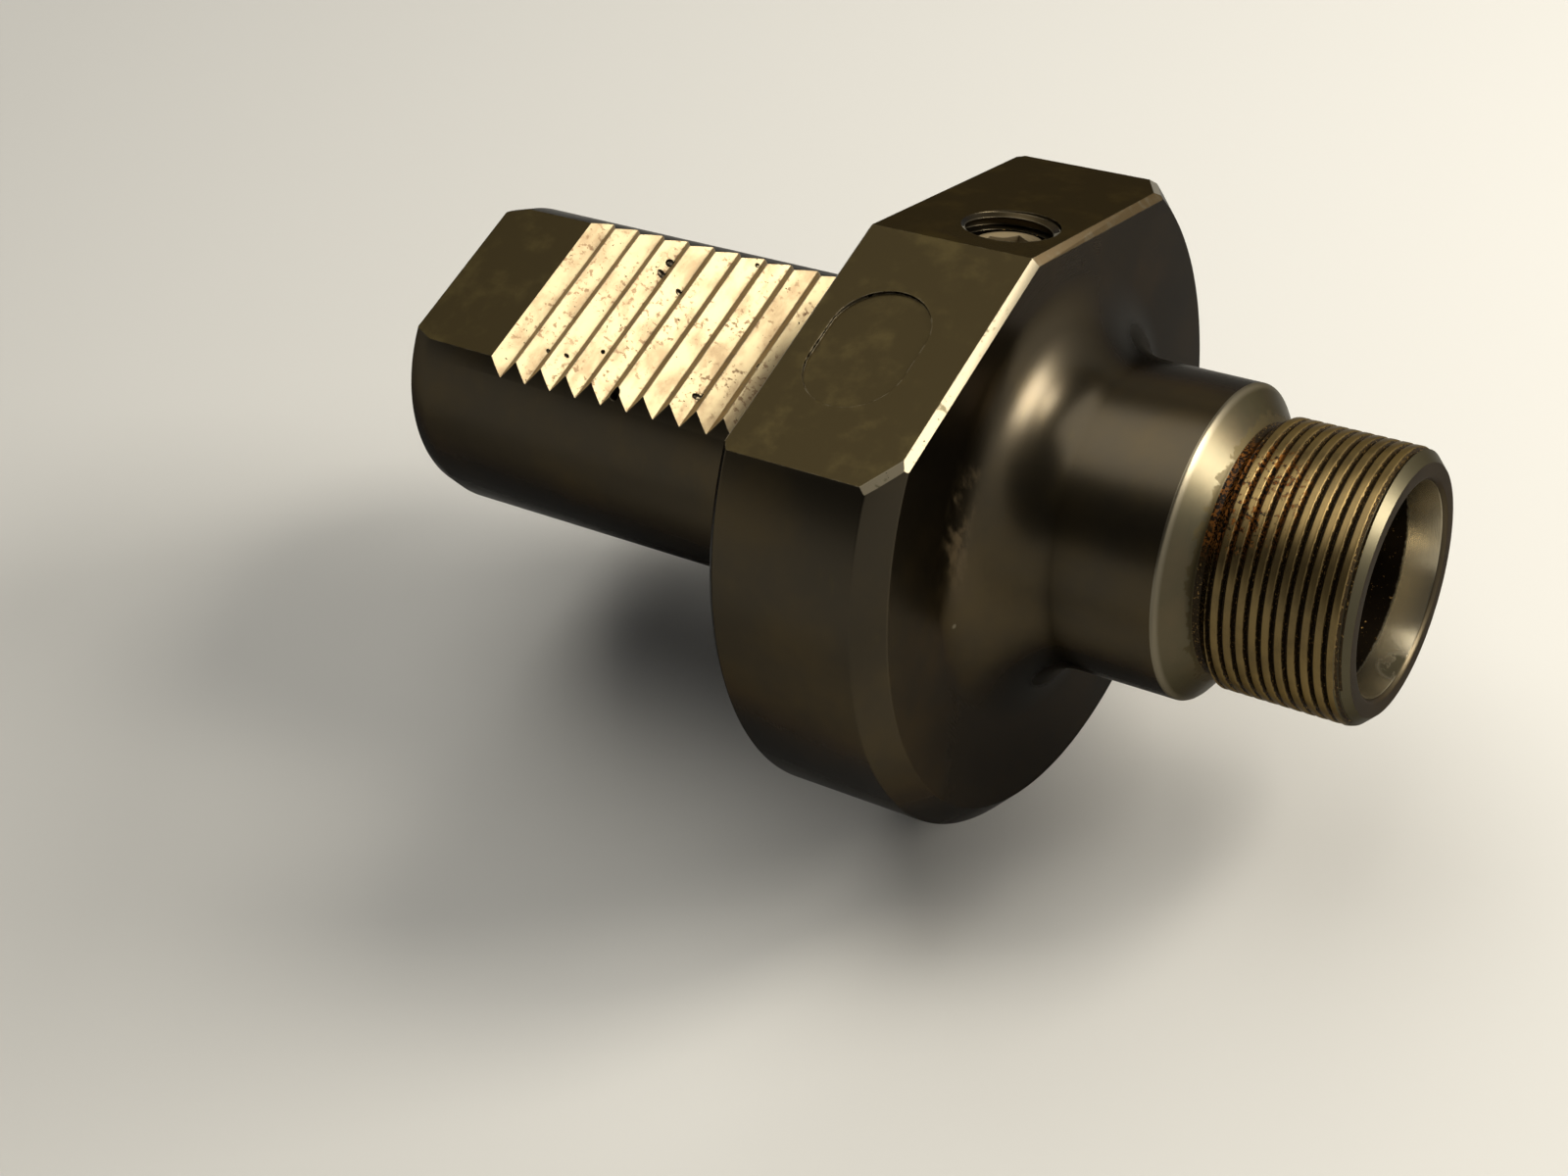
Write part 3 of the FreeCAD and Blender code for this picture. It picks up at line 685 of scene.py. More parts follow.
def patches(tree, size, low, high, stretch=(1.0, 1.0, 1.0), detail=4.0, shift=0.0):
    """A mask of uneven patches about as wide as size, with a soft edge from low to high."""
    place = add_node(tree, "ShaderNodeTexCoord").outputs["Object"]
    spread = add_node(tree, "ShaderNodeMapping", {
        "Vector": place, "Location": (shift, shift, shift), "Scale": stretch})
    noise = add_node(tree, "ShaderNodeTexNoise", {
        "Vector": spread.outputs[0], "Scale": 1.0 / size, "Detail": detail, "Roughness": 0.6})
    return ramp(tree, noise.outputs["Fac"], low, high)


def ramp(tree, value, low, high):
    """A value turned into a mask that rises smoothly from low to high, or falls if low is above."""
    return add_node(tree, "ShaderNodeMapRange", {
        "Value": value, "From Min": low, "From Max": high},
        interpolation_type="SMOOTHSTEP").outputs["Result"]


def combined(tree, operation, *values):
    """Several values joined by one arithmetic operation."""
    result = values[0]
    for value in values[1:]:
        result = add_node(tree, "ShaderNodeMath", {0: result, 1: value},
                          operation=operation).outputs[0]
    return result


def coordinate(tree, axis):
    """The place along one object axis, in metres; R is the distance from the tool axis."""
    place = add_node(tree, "ShaderNodeTexCoord").outputs["Object"]
    if axis != "R":
        return add_node(tree, "ShaderNodeSeparateXYZ", {0: place}).outputs[axis]
    across = add_node(tree, "ShaderNodeVectorMath", {0: place, 1: (0.0, 1.0, 1.0)},
                      operation="MULTIPLY")
    return add_node(tree, "ShaderNodeVectorMath", {0: across.outputs[0]},
                    operation="LENGTH").outputs["Value"]


def worn_edges(tree, width, size, low, high):
    """A mask of the edges, about as wide as width, broken into chips about as long as size."""
    rounded = add_node(tree, "ShaderNodeBevel", {"Radius": width}, samples=6)
    surface = add_node(tree, "ShaderNodeNewGeometry")
    likeness = add_node(tree, "ShaderNodeVectorMath", {
        0: rounded.outputs[0], 1: surface.outputs["Normal"]}, operation="DOT_PRODUCT")
    edge = ramp(tree, likeness.outputs["Value"], 0.995, 0.94)
    return combined(tree, "MULTIPLY", edge, patches(tree, size, low, high, detail=5.0))


def layered(tree, kind, base, *layers):
    """A base colour or value with others laid over it in order, each with its mask."""
    first, second, out = {"RGBA": (6, 7, 2), "FLOAT": (2, 3, 0)}[kind]
    result = base
    for mask, value in layers:
        mix = add_node(tree, "ShaderNodeMix", {0: mask, first: result, second: value},
                       data_type=kind)
        result = mix.outputs[out]
    return result


def turning_marks(tree, feed):
    """Fine rings about the tool axis, as far apart as the tool's feed."""
    across = add_node(tree, "ShaderNodeCombineXYZ", {
        0: coordinate(tree, "X"), 1: coordinate(tree, "R"), 2: 0.0})
    return add_node(tree, "ShaderNodeTexNoise", {
        "Vector": across.outputs[0], "Scale": 1.0 / feed, "Detail": 2.0},
        noise_dimensions="2D").outputs["Fac"]


def lengthwise_marks(tree, width, stretch):
    """Fine straight marks, long along the axes where stretch is small."""
    place = add_node(tree, "ShaderNodeTexCoord").outputs["Object"]
    spread = add_node(tree, "ShaderNodeMapping", {"Vector": place, "Scale": stretch})
    return add_node(tree, "ShaderNodeTexNoise", {
        "Vector": spread.outputs[0], "Scale": 1.0 / width, "Detail": 3.0}).outputs["Fac"]


def near(tree, centre, edge, core):
    """A mask round one place of the part, given in millimetres: full at core, gone at edge."""
    place = add_node(tree, "ShaderNodeTexCoord").outputs["Object"]
    away = add_node(tree, "ShaderNodeVectorMath", {0: place, 1: Vector(centre) * MM},
                    operation="DISTANCE")
    return ramp(tree, away.outputs["Value"], edge, core)


# How far every edge is rounded in the shading
EDGE_ROUNDING = 0.12 * MM
# Gloss and refraction of a thin film of oil
OIL_ROUGHNESS = 0.24
OIL_IOR = 1.47


def surfaced(name, metallic, oil, edge_tint, build):
    """A material whose colour, roughness, relief and relief depth come from build(tree).

    oil is how much of the surface wears a thin film of oil, which gives a second, sharper gloss.
    edge_tint is how bright the metal stays when seen at a low angle, where oxide stays dark.
    """
    material = bpy.data.materials.new(name)
    material.use_nodes = True
    tree = material.node_tree
    tree.nodes.clear()
    base, roughness, height, depth = build(tree)
    rounded = add_node(tree, "ShaderNodeBevel", {"Radius": EDGE_ROUNDING}, samples=4)
    relief = add_node(tree, "ShaderNodeBump", {
        "Height": height, "Distance": depth, "Strength": 1.0, "Normal": rounded.outputs[0]})
    shader = add_node(tree, "ShaderNodeBsdfPrincipled", {
        "Base Color": base, "Roughness": roughness, "Metallic": metallic,
        "Specular Tint": (edge_tint, edge_tint, edge_tint, 1.0),
        "Normal": relief.outputs[0], "Coat Weight": oil, "Coat Roughness": OIL_ROUGHNESS,
        "Coat IOR": OIL_IOR})
    add_node(tree, "ShaderNodeOutputMaterial", {"Surface": shader.outputs[0]})
    return material


def scuffs(tree):
    """The scuffed streak low on the fillet beside the neck, with one small bright chip."""
    ringwise = combined(tree, "MULTIPLY", ramp(tree, coordinate(tree, "R"), 23.0 * MM, 24.4 * MM),
                        ramp(tree, coordinate(tree, "R"), 28.6 * MM, 26.8 * MM))
    window = near(tree, (22.8, -18.5, 16.5), 9.5 * MM, 4.0 * MM)
    streaks = patches(tree, 1.1 * MM, 0.42, 0.66, stretch=(1.0, 0.5, 0.25))
    chip = near(tree, (22.6, -24.6, 6.3), 0.45 * MM, 0.30 * MM)
    return combined(tree, "MULTIPLY", ringwise, window, streaks), chip


def turned_oxide(colours):
    """Black oxide over fine turning, lightly oiled: dark olive brown with a broad soft gloss."""
    def build(tree):
        edges = worn_edges(tree, 0.32 * MM, 1.6 * MM, 0.36, 0.56)
        brown = patches(tree, 18 * MM, 0.40, 0.75)
        rubbed = patches(tree, 2.2 * MM, 0.60, 0.82, stretch=(1.0, 0.35, 0.35))
        scuff, chip = scuffs(tree)
        base = layered(tree, "RGBA", colours.oxide, (brown, colours.oxide_brown),
                       (combined(tree, "MULTIPLY", rubbed, 0.35), colours.milled_pale),
                       (combined(tree, "MULTIPLY", scuff, 0.8), colours.scuffed),
                       (combined(tree, "MULTIPLY", edges, 0.55), colours.worn), (chip, colours.worn))
        roughness = layered(tree, "FLOAT", 0.31, (brown, 0.34), (scuff, 0.55), (edges, 0.38))
        return base, roughness, turning_marks(tree, 0.16 * MM), 0.004 * MM
    return surfaced("black_oxide_turned", 1.0, 0.15, 0.2, build)


def milled_oxide(colours):
    """Matte black oxide on milled flats: olive brown, nearly even, with faint rubbed patches."""
    def build(tree):
        edges = worn_edges(tree, 0.28 * MM, 1.2 * MM, 0.42, 0.62)
        rubbed = patches(tree, 5 * MM, 0.48, 0.74)
        marks = lengthwise_marks(tree, 0.20 * MM, (0.10, 1.0, 1.0))
        base = layered(tree, "RGBA", colours.milled, (rubbed, colours.milled_pale),
                       (combined(tree, "MULTIPLY", edges, 0.5), colours.worn))
        roughness = layered(tree, "FLOAT", 0.52, (rubbed, 0.47), (edges, 0.38))
        return base, roughness, marks, 0.002 * MM
    return surfaced("black_oxide_milled", 1.0, 0.0, 0.32, build)


def worn_bevel(colours):
    """Oxide rubbed off to bare steel: creamy bright with small dark nicks."""
    def build(tree):
        left = patches(tree, 1.3 * MM, 0.60, 0.70)
        nicks = patches(tree, 0.5 * MM, 0.66, 0.72)
        marks = lengthwise_marks(tree, 0.15 * MM, (1.0, 0.08, 1.0))
        base = layered(tree, "RGBA", colours.worn, (left, colours.satin), (nicks, colours.dirt))
        roughness = layered(tree, "FLOAT", 0.42, (left, 0.48), (nicks, 0.6))
        return base, roughness, marks, 0.004 * MM
    return surfaced("bare_steel_worn_bevel", 1.0, 0.0, 1.0, build)


def shade_copy_bevel(colours):
    """A darker copy of the worn bevel for the tilted flat's bevels, which catch less light: painted
    shade in grey brown, with a few rubbed places.
    """
    def build(tree):
        bare = patches(tree, 1.5 * MM, 0.52, 0.68)
        marks = lengthwise_marks(tree, 0.15 * MM, (1.0, 0.08, 1.0))
        base = layered(tree, "RGBA", colours.scuffed,
                       (combined(tree, "MULTIPLY", bare, 0.5), colours.worn))
        return base, 0.42, marks, 0.004 * MM
    return surfaced("painted_shade_copy_bevel", 1.0, 0.0, 0.3, build)


def recess_wall(colours):
    """The low wall of the recess: painted near black as painted shade, broken by bright burrs."""
    def build(tree):
        burrs = patches(tree, 0.9 * MM, 0.42, 0.52)
        base = layered(tree, "RGBA", colours.dirt, (burrs, colours.worn))
        return base, 0.42, burrs, 0.02 * MM
    return surfaced("shade_dark_burred_recess_wall", 1.0, 0.0, 0.5, build)


def lit_tooth_faces_steel(colours):
    """Tooth faces turned towards the lamps: creamy steel, partly a painted highlight, with stains, pits
    and fine lines.
    """
    def build(tree):
        stains = patches(tree, 3.0 * MM, 0.42, 0.68, stretch=(1.0, 0.5, 1.0))
        spots = patches(tree, 0.7 * MM, 0.55, 0.63, shift=0.3)
        spread = patches(tree, 7.0 * MM, 0.42, 0.56, shift=0.5)
        pits = patches(tree, 0.5 * MM, 0.67, 0.72, shift=0.7)
        marks = lengthwise_marks(tree, 0.12 * MM, (1.0, 0.06, 1.0))
        spotted = combined(tree, "MULTIPLY", spots, spread)
        base = layered(tree, "RGBA", colours.ground,
                       (combined(tree, "MULTIPLY", stains, 0.5), colours.stain),
                       (combined(tree, "MULTIPLY", spotted, 0.75), colours.stain), (pits, colours.dirt))
        roughness = layered(tree, "FLOAT", 0.40, (stains, 0.44), (spotted, 0.52), (pits, 0.8))
        relief = layered(tree, "FLOAT", marks, (pits, -4.0))
        return base, roughness, relief, 0.005 * MM
    return surfaced("lit_side_tooth_steel", 1.0, 0.0, 1.0, build)


def away_tooth_flank_bounce(colours):
    """The flanks turned away from the lamps: golden brown, lighter than oxide as a painted bounce light
    from the bright flanks beside them, with rubbed edges.
    """
    def build(tree):
        brown = patches(tree, 1.5 * MM, 0.45, 0.62)
        edges = worn_edges(tree, 0.22 * MM, 0.8 * MM, 0.30, 0.5)
        marks = lengthwise_marks(tree, 0.12 * MM, (1.0, 0.06, 1.0))
        base = layered(tree, "RGBA", colours.away_flank_bounce_light,
                       (combined(tree, "MULTIPLY", brown, 0.5), colours.scuffed),
                       (edges, colours.ground))
        return base, 0.50, marks, 0.006 * MM
    return surfaced("away_tooth_flank_bounce_light", 0.7, 0.0, 1.0, build)


def nose_thread_steel(colours):
    """Thread with golden rubbed lands, gritty grooves and traces of rust beside the neck."""
    def build(tree):
        ragged = combined(tree, "ADD", coordinate(tree, "R"),
                          combined(tree, "MULTIPLY", patches(tree, 0.5 * MM, 0.35, 0.65), -0.10 * MM))
        land = ramp(tree, ragged, 15.76 * MM, 15.86 * MM)
        grains = patches(tree, 0.38 * MM, 0.48, 0.54, detail=6.0)
        gold = patches(tree, 0.30 * MM, 0.60, 0.66, shift=0.6)
        spread = combined(tree, "MULTIPLY", near(tree, (48.6, -3.0, 15.5), 9.5 * MM, 5.0 * MM),
                          patches(tree, 4 * MM, 0.32, 0.48))
        beside = combined(tree, "MAXIMUM", combined(tree, "SUBTRACT", 1.0, land),
                          patches(tree, 0.8 * MM, 0.52, 0.60, shift=0.2))
        rust = combined(tree, "MULTIPLY", spread, beside, grains)
        dull = patches(tree, 5.0 * MM, 0.40, 0.70, shift=0.4)
        base = layered(tree, "RGBA", colours.groove,
                       (combined(tree, "MULTIPLY", gold, 0.6), colours.grit_and_glints), (land, colours.rubbed),
                       (combined(tree, "MULTIPLY", dull, land, 0.5), colours.oxide_brown),
                       (combined(tree, "MULTIPLY", spread, beside), colours.dirt), (rust, colours.rust))
        roughness = layered(tree, "FLOAT", 0.55, (land, 0.36), (rust, 0.7))
        relief = layered(tree, "FLOAT", grains, (land, 0.5), (rust, grains))
        return base, roughness, relief, 0.04 * MM
    return surfaced("thread_steel_rust_traces", 1.0, 0.1, 0.3, build)


def bright_cone(colours):
    """The cone behind the thread, rubbed by the nut, with a ragged stain at its root."""
    def build(tree):
        ragged = combined(tree, "ADD", coordinate(tree, "X"),
                          combined(tree, "MULTIPLY", patches(tree, 1.6 * MM, 0.3, 0.7), 0.9 * MM))
        stain = ramp(tree, ragged, 46.5 * MM, 46.7 * MM)
        rim = ramp(tree, coordinate(tree, "X"), 44.3 * MM, 43.9 * MM)
        dull = patches(tree, 7 * MM, 0.35, 0.75, shift=0.5)
        base = layered(tree, "RGBA", colours.satin,
                       (combined(tree, "MULTIPLY", dull, 0.5), colours.scuffed),
                       (combined(tree, "MULTIPLY", stain, 0.7), colours.milled_pale),
                       (rim, colours.worn))
        roughness = layered(tree, "FLOAT", 0.34, (stain, 0.5), (rim, 0.34))
        return base, roughness, turning_marks(tree, 0.14 * MM), 0.004 * MM
    return surfaced("half_bare_steel_neck_cone", 1.0, 0.1, 0.3, build)


def nose_end_steel(colours):
    """The end of the nose: smooth thin oxide, rubbed to satin steel on its chamfer."""
    def build(tree):
        chamfer = ramp(tree, coordinate(tree, "R"), 14.55 * MM, 14.65 * MM)
        dull = patches(tree, 6 * MM, 0.35, 0.70)
        base = layered(tree, "RGBA", colours.nose,
                       (combined(tree, "MULTIPLY", dull, 0.4), colours.oxide), (chamfer, colours.satin))
        return base, 0.38, turning_marks(tree, 0.12 * MM), 0.004 * MM
    return surfaced("satin_steel_nose_end", 1.0, 0.1, 0.3, build)


def collet_seat_steel(colours):
    """The ground collet seat: bright at the mouth, then painted near black further in as painted shade,
    with golden grains as painted glints.
    """
    def build(tree):
        ragged = combined(tree, "ADD", coordinate(tree, "X"),
                          combined(tree, "MULTIPLY", patches(tree, 0.8 * MM, 0.3, 0.7), 0.15 * MM))
        # further into the seat the surface is painted near black: painted shade
        deep = ramp(tree, ragged, 61.0 * MM, 60.6 * MM)
        dirt = near(tree, (64.0, -2.2, -12.2), 2.4 * MM, 1.6 * MM)
        smudge = combined(tree, "MULTIPLY", dirt, patches(tree, 1.2 * MM, 0.38, 0.48, shift=0.2))
        # golden grains in that dark part stand for glints: painted glints
        grit_and_glints = patches(tree, 0.35 * MM, 0.66, 0.71, shift=0.9)
        base = layered(tree, "RGBA", colours.bright, (smudge, colours.satin), (deep, colours.dirt),
                       (combined(tree, "MULTIPLY", deep, grit_and_glints), colours.grit_and_glints))
        roughness = layered(tree, "FLOAT", 0.26, (smudge, 0.5), (deep, 0.45))
        relief = layered(tree, "FLOAT", turning_marks(tree, 0.10 * MM), (deep, grit_and_glints))
        return base, roughness, relief, 0.004 * MM
    return surfaced("ground_steel_collet_seat", 1.0, 0.0, 1.0, build)


def shade_dark_oily_hole(colours):
    """Inside of the holes: painted near black as painted shade, wet with oil, with small golden grains
    as painted glints.
    """
    def build(tree):
        grains = patches(tree, 0.45 * MM, 0.58, 0.63)
        base = layered(tree, "RGBA", colours.dirt, (grains, colours.grit_and_glints))
        roughness = layered(tree, "FLOAT", 0.40, (grains, 0.3))
        return base, roughness, grains, 0.03 * MM
    return surfaced("painted_shade_oily_hole", 1.0, 0.2, 0.5, build)


def plug_steel(colours):
    """The plugs: dull brown oxide, lightly rubbed round the socket."""
    def build(tree):
        edges = worn_edges(tree, 0.25 * MM, 0.8 * MM, 0.35, 0.55)
        base = layered(tree, "RGBA", colours.plug,
                       (combined(tree, "MULTIPLY", edges, 0.6), colours.worn))
        return base, 0.55, turning_marks(tree, 0.15 * MM), 0.004 * MM
    return surfaced("brown_oxide_plug", 0.6, 0.0, 0.5, build)


def stop_screw_steel(colours):
    """The stop screw: grey steel, lightly oiled."""
    def build(tree):
        oil = patches(tree, 3 * MM, 0.45, 0.65)
        base = layered(tree, "RGBA", colours.screw, (oil, colours.plug))
        return base, 0.36, turning_marks(tree, 0.15 * MM), 0.004 * MM
    return surfaced("oiled_steel_stop_screw", 1.0, 0.5, 1.0, build)


def seal_rubber(colours):
    """Nitrile rubber: nearly black, soft sheen, faint mould grain."""
    def build(tree):
        grain = patches(tree, 0.2 * MM, 0.3, 0.7)
        return colours.rubber, 0.55, grain, 0.01 * MM
    return surfaced("nitrile_rubber_seal", 0.0, 0.0, 1.0, build)


def floor_paint(settings):
    """Plain matte paint of the floor and its curved backdrop, as pale far off as under the lamps."""
    material = bpy.data.materials.new("plain_matte_floor")
    material.use_nodes = True
    tree = material.node_tree
    tree.nodes.clear()
    paint = add_node(tree, "ShaderNodeBsdfPrincipled", {
        "Base Color": settings.floor, "Roughness": 0.75})
    # what is seen far off is evened out; the light that falls on the holder is not changed
    path = add_node(tree, "ShaderNodeLightPath").outputs
    seen = combined(tree, "MAXIMUM", path["Is Camera Ray"], path["Is Glossy Ray"],
                    path["Is Transmission Ray"])
    place = add_node(tree, "ShaderNodeTexCoord").outputs["Object"]
    away = add_node(tree, "ShaderNodeVectorMath", {0: place}, operation="LENGTH").outputs["Value"]
    beyond = ramp(tree, away, settings.lit_radius, 2 * settings.lit_radius)
    far = combined(tree, "MULTIPLY", seen, beyond)
    backdrop = add_node(tree, "ShaderNodeEmission", {"Color": settings.backdrop, "Strength": 1.0})
    shader = add_node(tree, "ShaderNodeMixShader", {
        0: far, 1: paint.outputs[0], 2: backdrop.outputs[0]})
    add_node(tree, "ShaderNodeOutputMaterial", {"Surface": shader.outputs[0]})
    return material


BODY_FINISHES = {
    "turned": turned_oxide,
    "milled": milled_oxide,
    "worn bevel": worn_bevel,
    "shade copy bevel": shade_copy_bevel,
    "recess wall": recess_wall,
    "lit tooth faces": lit_tooth_faces_steel,
    "away flank bounce": away_tooth_flank_bounce,
    "thread": nose_thread_steel,
    "cone": bright_cone,
    "nose end": nose_end_steel,
    "seat": collet_seat_steel,
    "hole": shade_dark_oily_hole,
}


def flange_finish(flange, centre, normal):
    """The finish of a face on one of the flange's flats or their bevels, or None."""
    margin = 0.02 * MM
    if not -margin < centre.x < flange.thickness + margin:
        return None
    # the first flat's bevels are worn bright steel, the tilted flat's bevels get the darker copy as
    # painted shade
    flats = ((Matrix.Identity(4), "worn bevel"), (tilted(flange), "shade copy bevel"))
    squares = [(turn @ Vector((0.0, 0.0, 1.0)), bevel) for turn, bevel in flats]
    floor = flange.flat_height - flange.recess_depth - margin
    if any(normal.dot(square) > 0.99 and centre.dot(square) > floor for square, _ in squares):
        return "milled"
    in_recess = abs(centre.y + flange.recess_offset) < flange.recess_length / 2 + margin
    if in_recess and floor < centre.z < flange.flat_height + margin and abs(normal.z) < 0.3:
        return "recess wall"
    for square, bevel in squares:
        height, facing = centre.dot(square), normal.dot(square)
        near_front = centre.x > flange.thickness - flange.front_bevel - margin
        near_rear = centre.x < flange.rear_bevel + margin
        if 0.6 < facing < 0.8 and height > flange.flat_height - flange.front_bevel - margin:
            if near_front or near_rear:
                return bevel
        if 0.8 < facing < 0.97 and centre.x > flange.thickness - flange.front_chamfer - MM:
            return "worn bevel"
    return None


def hole_finish(flange, centre, normal):
    """The finish of a face in the plug hole, the gallery or the inlet, or None."""
    margin = 0.1 * MM
    # the top of the hole's thread keeps its other finish; below this height the hole is painted near
    # black as painted shade
    painted_shade_below = 30 * MM
    local = tilted(flange).inverted() @ (centre - Vector((flange.hole_setback, 0.0, 0.0)))
    off_axis = math.hypot(local.x, local.y)
    hole_reach = flange.hole_radius + flange.hole_chamfer + margin
    if off_axis < hole_reach and abs(local.z) < flange.flat_height:
        facing = normal.dot(tilted(flange) @ Vector((0.0, 0.0, 1.0)))
        if local.z > flange.flat_height - flange.hole_chamfer:
            return None if facing > 0.95 else "worn bevel"
        if off_axis < flange.hole_thread_radius + margin and local.z < painted_shade_below:
            return "hole"
    # the coolant inlet is painted near black as well: painted shade
    off_inlet = math.hypot(local.y, local.z + flange.inlet_circle)
    if off_inlet < flange.inlet_radius + margin and margin / 2 < centre.x < flange.thickness - MM:
        return "hole"
    return None


def body_finish(scene, centre, normal):
    """The finish of a face of the body, from its place and from the way it faces."""
    shank, flange = scene.holder_shank, scene.holder_flange
    nose, bore = scene.holder_nose, scene.holder_bore
    margin = 0.05 * MM
    radius = math.hypot(centre.y, centre.z)
    outward = normal.dot(Vector((0.0, centre.y, centre.z))) / max(radius, WELD)
    seat_back = nose.reach - (bore.mouth_radius - bore.stop_radius) / math.tan(bore.seat_angle)
    if radius < bore.mouth_radius + bore.mouth_bevel and outward < -0.1 and centre.x > seat_back:
        on_bevel = centre.x > nose.reach - bore.mouth_bevel - margin and outward > -0.9
        return "nose end" if on_bevel else "seat"
    # the rear bore is painted near black too: painted shade
    if radius < bore.rear_radius + margin and centre.x > -shank.reach + bore.rear_bevel:
        return "hole"
    found = hole_finish(flange, centre, normal) or flange_finish(flange, centre, normal)
    if found:
        return found
    tooth_floor = shank.flat_height - shank.tooth_depth - margin
    if centre.x < -shank.collar and normal.z > 0.7 and centre.z > tooth_floor:
        if normal.z > 0.95:
            return "lit tooth faces" if centre.x > -shank.reach + shank.plain_flat else "milled"
        # flanks turned towards the lamps get the bright steel, partly a painted highlight, and those
        # turned away the golden brown with painted bounce light: painted light and shade split by facing
        if abs(normal.y) < 0.05:
            return "lit tooth faces" if normal.x > 0 else "away flank bounce"
    cone_end = nose.neck_reach + nose.bevel_length
    if centre.x > nose.reach - margin:
        return "nose end"
    if centre.x > nose.reach - nose.chamfer and 0.6 < outward < 0.8:
        return "nose end"
    if centre.x > cone_end - margin and radius > nose.relief_radius - margin:
        return "thread"
    if centre.x > nose.neck_reach - 0.3 * MM and radius > nose.relief_radius - margin:
        return "cone"
    return "turned"


def placed(scene, mesh, name, materials):
    """Put a mesh in the scene as a smooth object with sharp edges, and return it."""
    for material in materials:
        mesh.materials.append(material)
    mesh.polygons.foreach_set("use_smooth", [True] * len(mesh.polygons))
    mesh.set_sharp_from_angle(angle=SHARP_ANGLE)
    piece = bpy.data.objects.new(name, mesh)
    scene.collection.objects.link(piece)
    return piece


def handed_over(piece, body, node):
    """Let a piece ride on its body and stand for its node, whose part is hidden."""
    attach(piece, body)
    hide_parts(node)


# How far the countersink of a key socket reaches past the socket's corners
SOCKET_ENTRY = 0.25 * MM


def socket_cutters(name, width, depth):
    """Cutters of a hexagonal key socket that opens at x = 0 towards +X, with its drilled tip."""
    corner = width / math.sqrt(3)
    flat = width / 2
    hexagon = [(corner * math.cos(math.radians(60 * side)), corner * math.sin(math.radians(60 * side)))
               for side in range(6)]
    to_x = Matrix.Rotation(math.pi / 2, 4, "Y")
    entry_radius = corner + SOCKET_ENTRY
    slope = math.tan(math.radians(30))
    cone = bmesh.new()
    add_turned(cone, [(-entry_radius * slope, 0.0), (OVERSHOOT, entry_radius + OVERSHOOT / slope),
                      (OVERSHOOT, 0.0)], SCREW_COLUMNS)
    tip = bmesh.new()
    add_turned(tip, [(-depth - flat * slope, 0.0), (-depth + 0.1 * MM, flat), (-depth / 2, flat),
                     (-depth / 2, 0.0)], SCREW_COLUMNS)
    return [
        prism(f"{name}_hexagon", hexagon, -depth, OVERSHOOT, to_x),
        bpy.data.objects.new(f"{name}_entry", finished_mesh(cone, f"{name}_entry")),
        bpy.data.objects.new(f"{name}_tip", finished_mesh(tip, f"{name}_tip")),
    ]


def plug_mesh(name, radius, reach, socket, socket_depth, sizes):
    """A threaded socket plug with its outer face at x = 0, facing +X."""
    root = radius - sizes.thread_depth
    # the thread ends where the bevel has cut down to its root
    start, end = -reach, -sizes.bevel * 0.4

    def radius_at(along, depth):
        thread = radius - sizes.thread_depth * depth
        return min(thread, root + (along - start), root + (end - along))

    shape = bmesh.new()
    add_turned(shape, [(start, 0.0), (start, root)], SCREW_COLUMNS)
    add_thread(shape, start, end, sizes.thread_pitch, radius_at, SCREW_COLUMNS)
    add_turned(shape, [(end, root), (0.0, root + end), (0.0, 0.0)], SCREW_COLUMNS)
    return cut(finished_mesh(shape, name), name, socket_cutters(name, socket, socket_depth))


# Clearance between the stop screw's head and its bore
STOP_HEAD_GAP = 0.25 * MM


def stop_screw_mesh(sizes):
    """The stop screw with the front of its head at x = 0."""
    head, neck = sizes.stop_head_radius, sizes.stop_radius - sizes.thread_depth
    seal = sizes.stop_head_radius + STOP_HEAD_GAP - 2 * (sizes.stop_cord + sizes.seal_gap)
    middle, half = -sizes.stop_head_length / 2, sizes.groove_half
    start, end = -sizes.stop_length, -sizes.stop_head_length

    def radius_at(along, depth):
        thread = sizes.stop_radius - sizes.thread_depth * depth
        return min(thread, neck + (along - start), neck + (end - along))

    outline = [(end, neck), (end, head), (middle - half, head), (middle - half, seal),
               (middle + half, seal), (middle + half, head), (-sizes.bevel, head),
               (0.0, head - sizes.bevel), (0.0, sizes.stop_hole), (start, sizes.stop_hole),
               (start, neck)]
    shape = bmesh.new()
    add_turned(shape, eased(outline, SCREW_EASE), SCREW_COLUMNS)
    add_thread(shape, start, end, sizes.thread_pitch, radius_at, SCREW_COLUMNS)
    cutters = socket_cutters("stop_screw", sizes.stop_socket, sizes.stop_socket_depth)
    return cut(finished_mesh(shape, "stop_screw"), "stop_screw", cutters)


# Sides of a seal's round section, a multiple of four so that the flash line has its points
SEAL_SIDES = 24


def seal_mesh(name, middle, ring_radius, cord, flash):
    """A moulded ring seal: a round cord with a fine flash line inside and outside."""
    outline = []
    for step in range(SEAL_SIDES):
        turn = 2 * math.pi * step / SEAL_SIDES
        thick = cord if step in (SEAL_SIDES // 4, 3 * SEAL_SIDES // 4) else cord - flash
        outline.append((middle + thick * math.cos(turn), ring_radius + thick * math.sin(turn)))
    shape = bmesh.new()
    add_turned(shape, outline + outline[:1], 2 * SCREW_COLUMNS)
    return finished_mesh(shape, name)


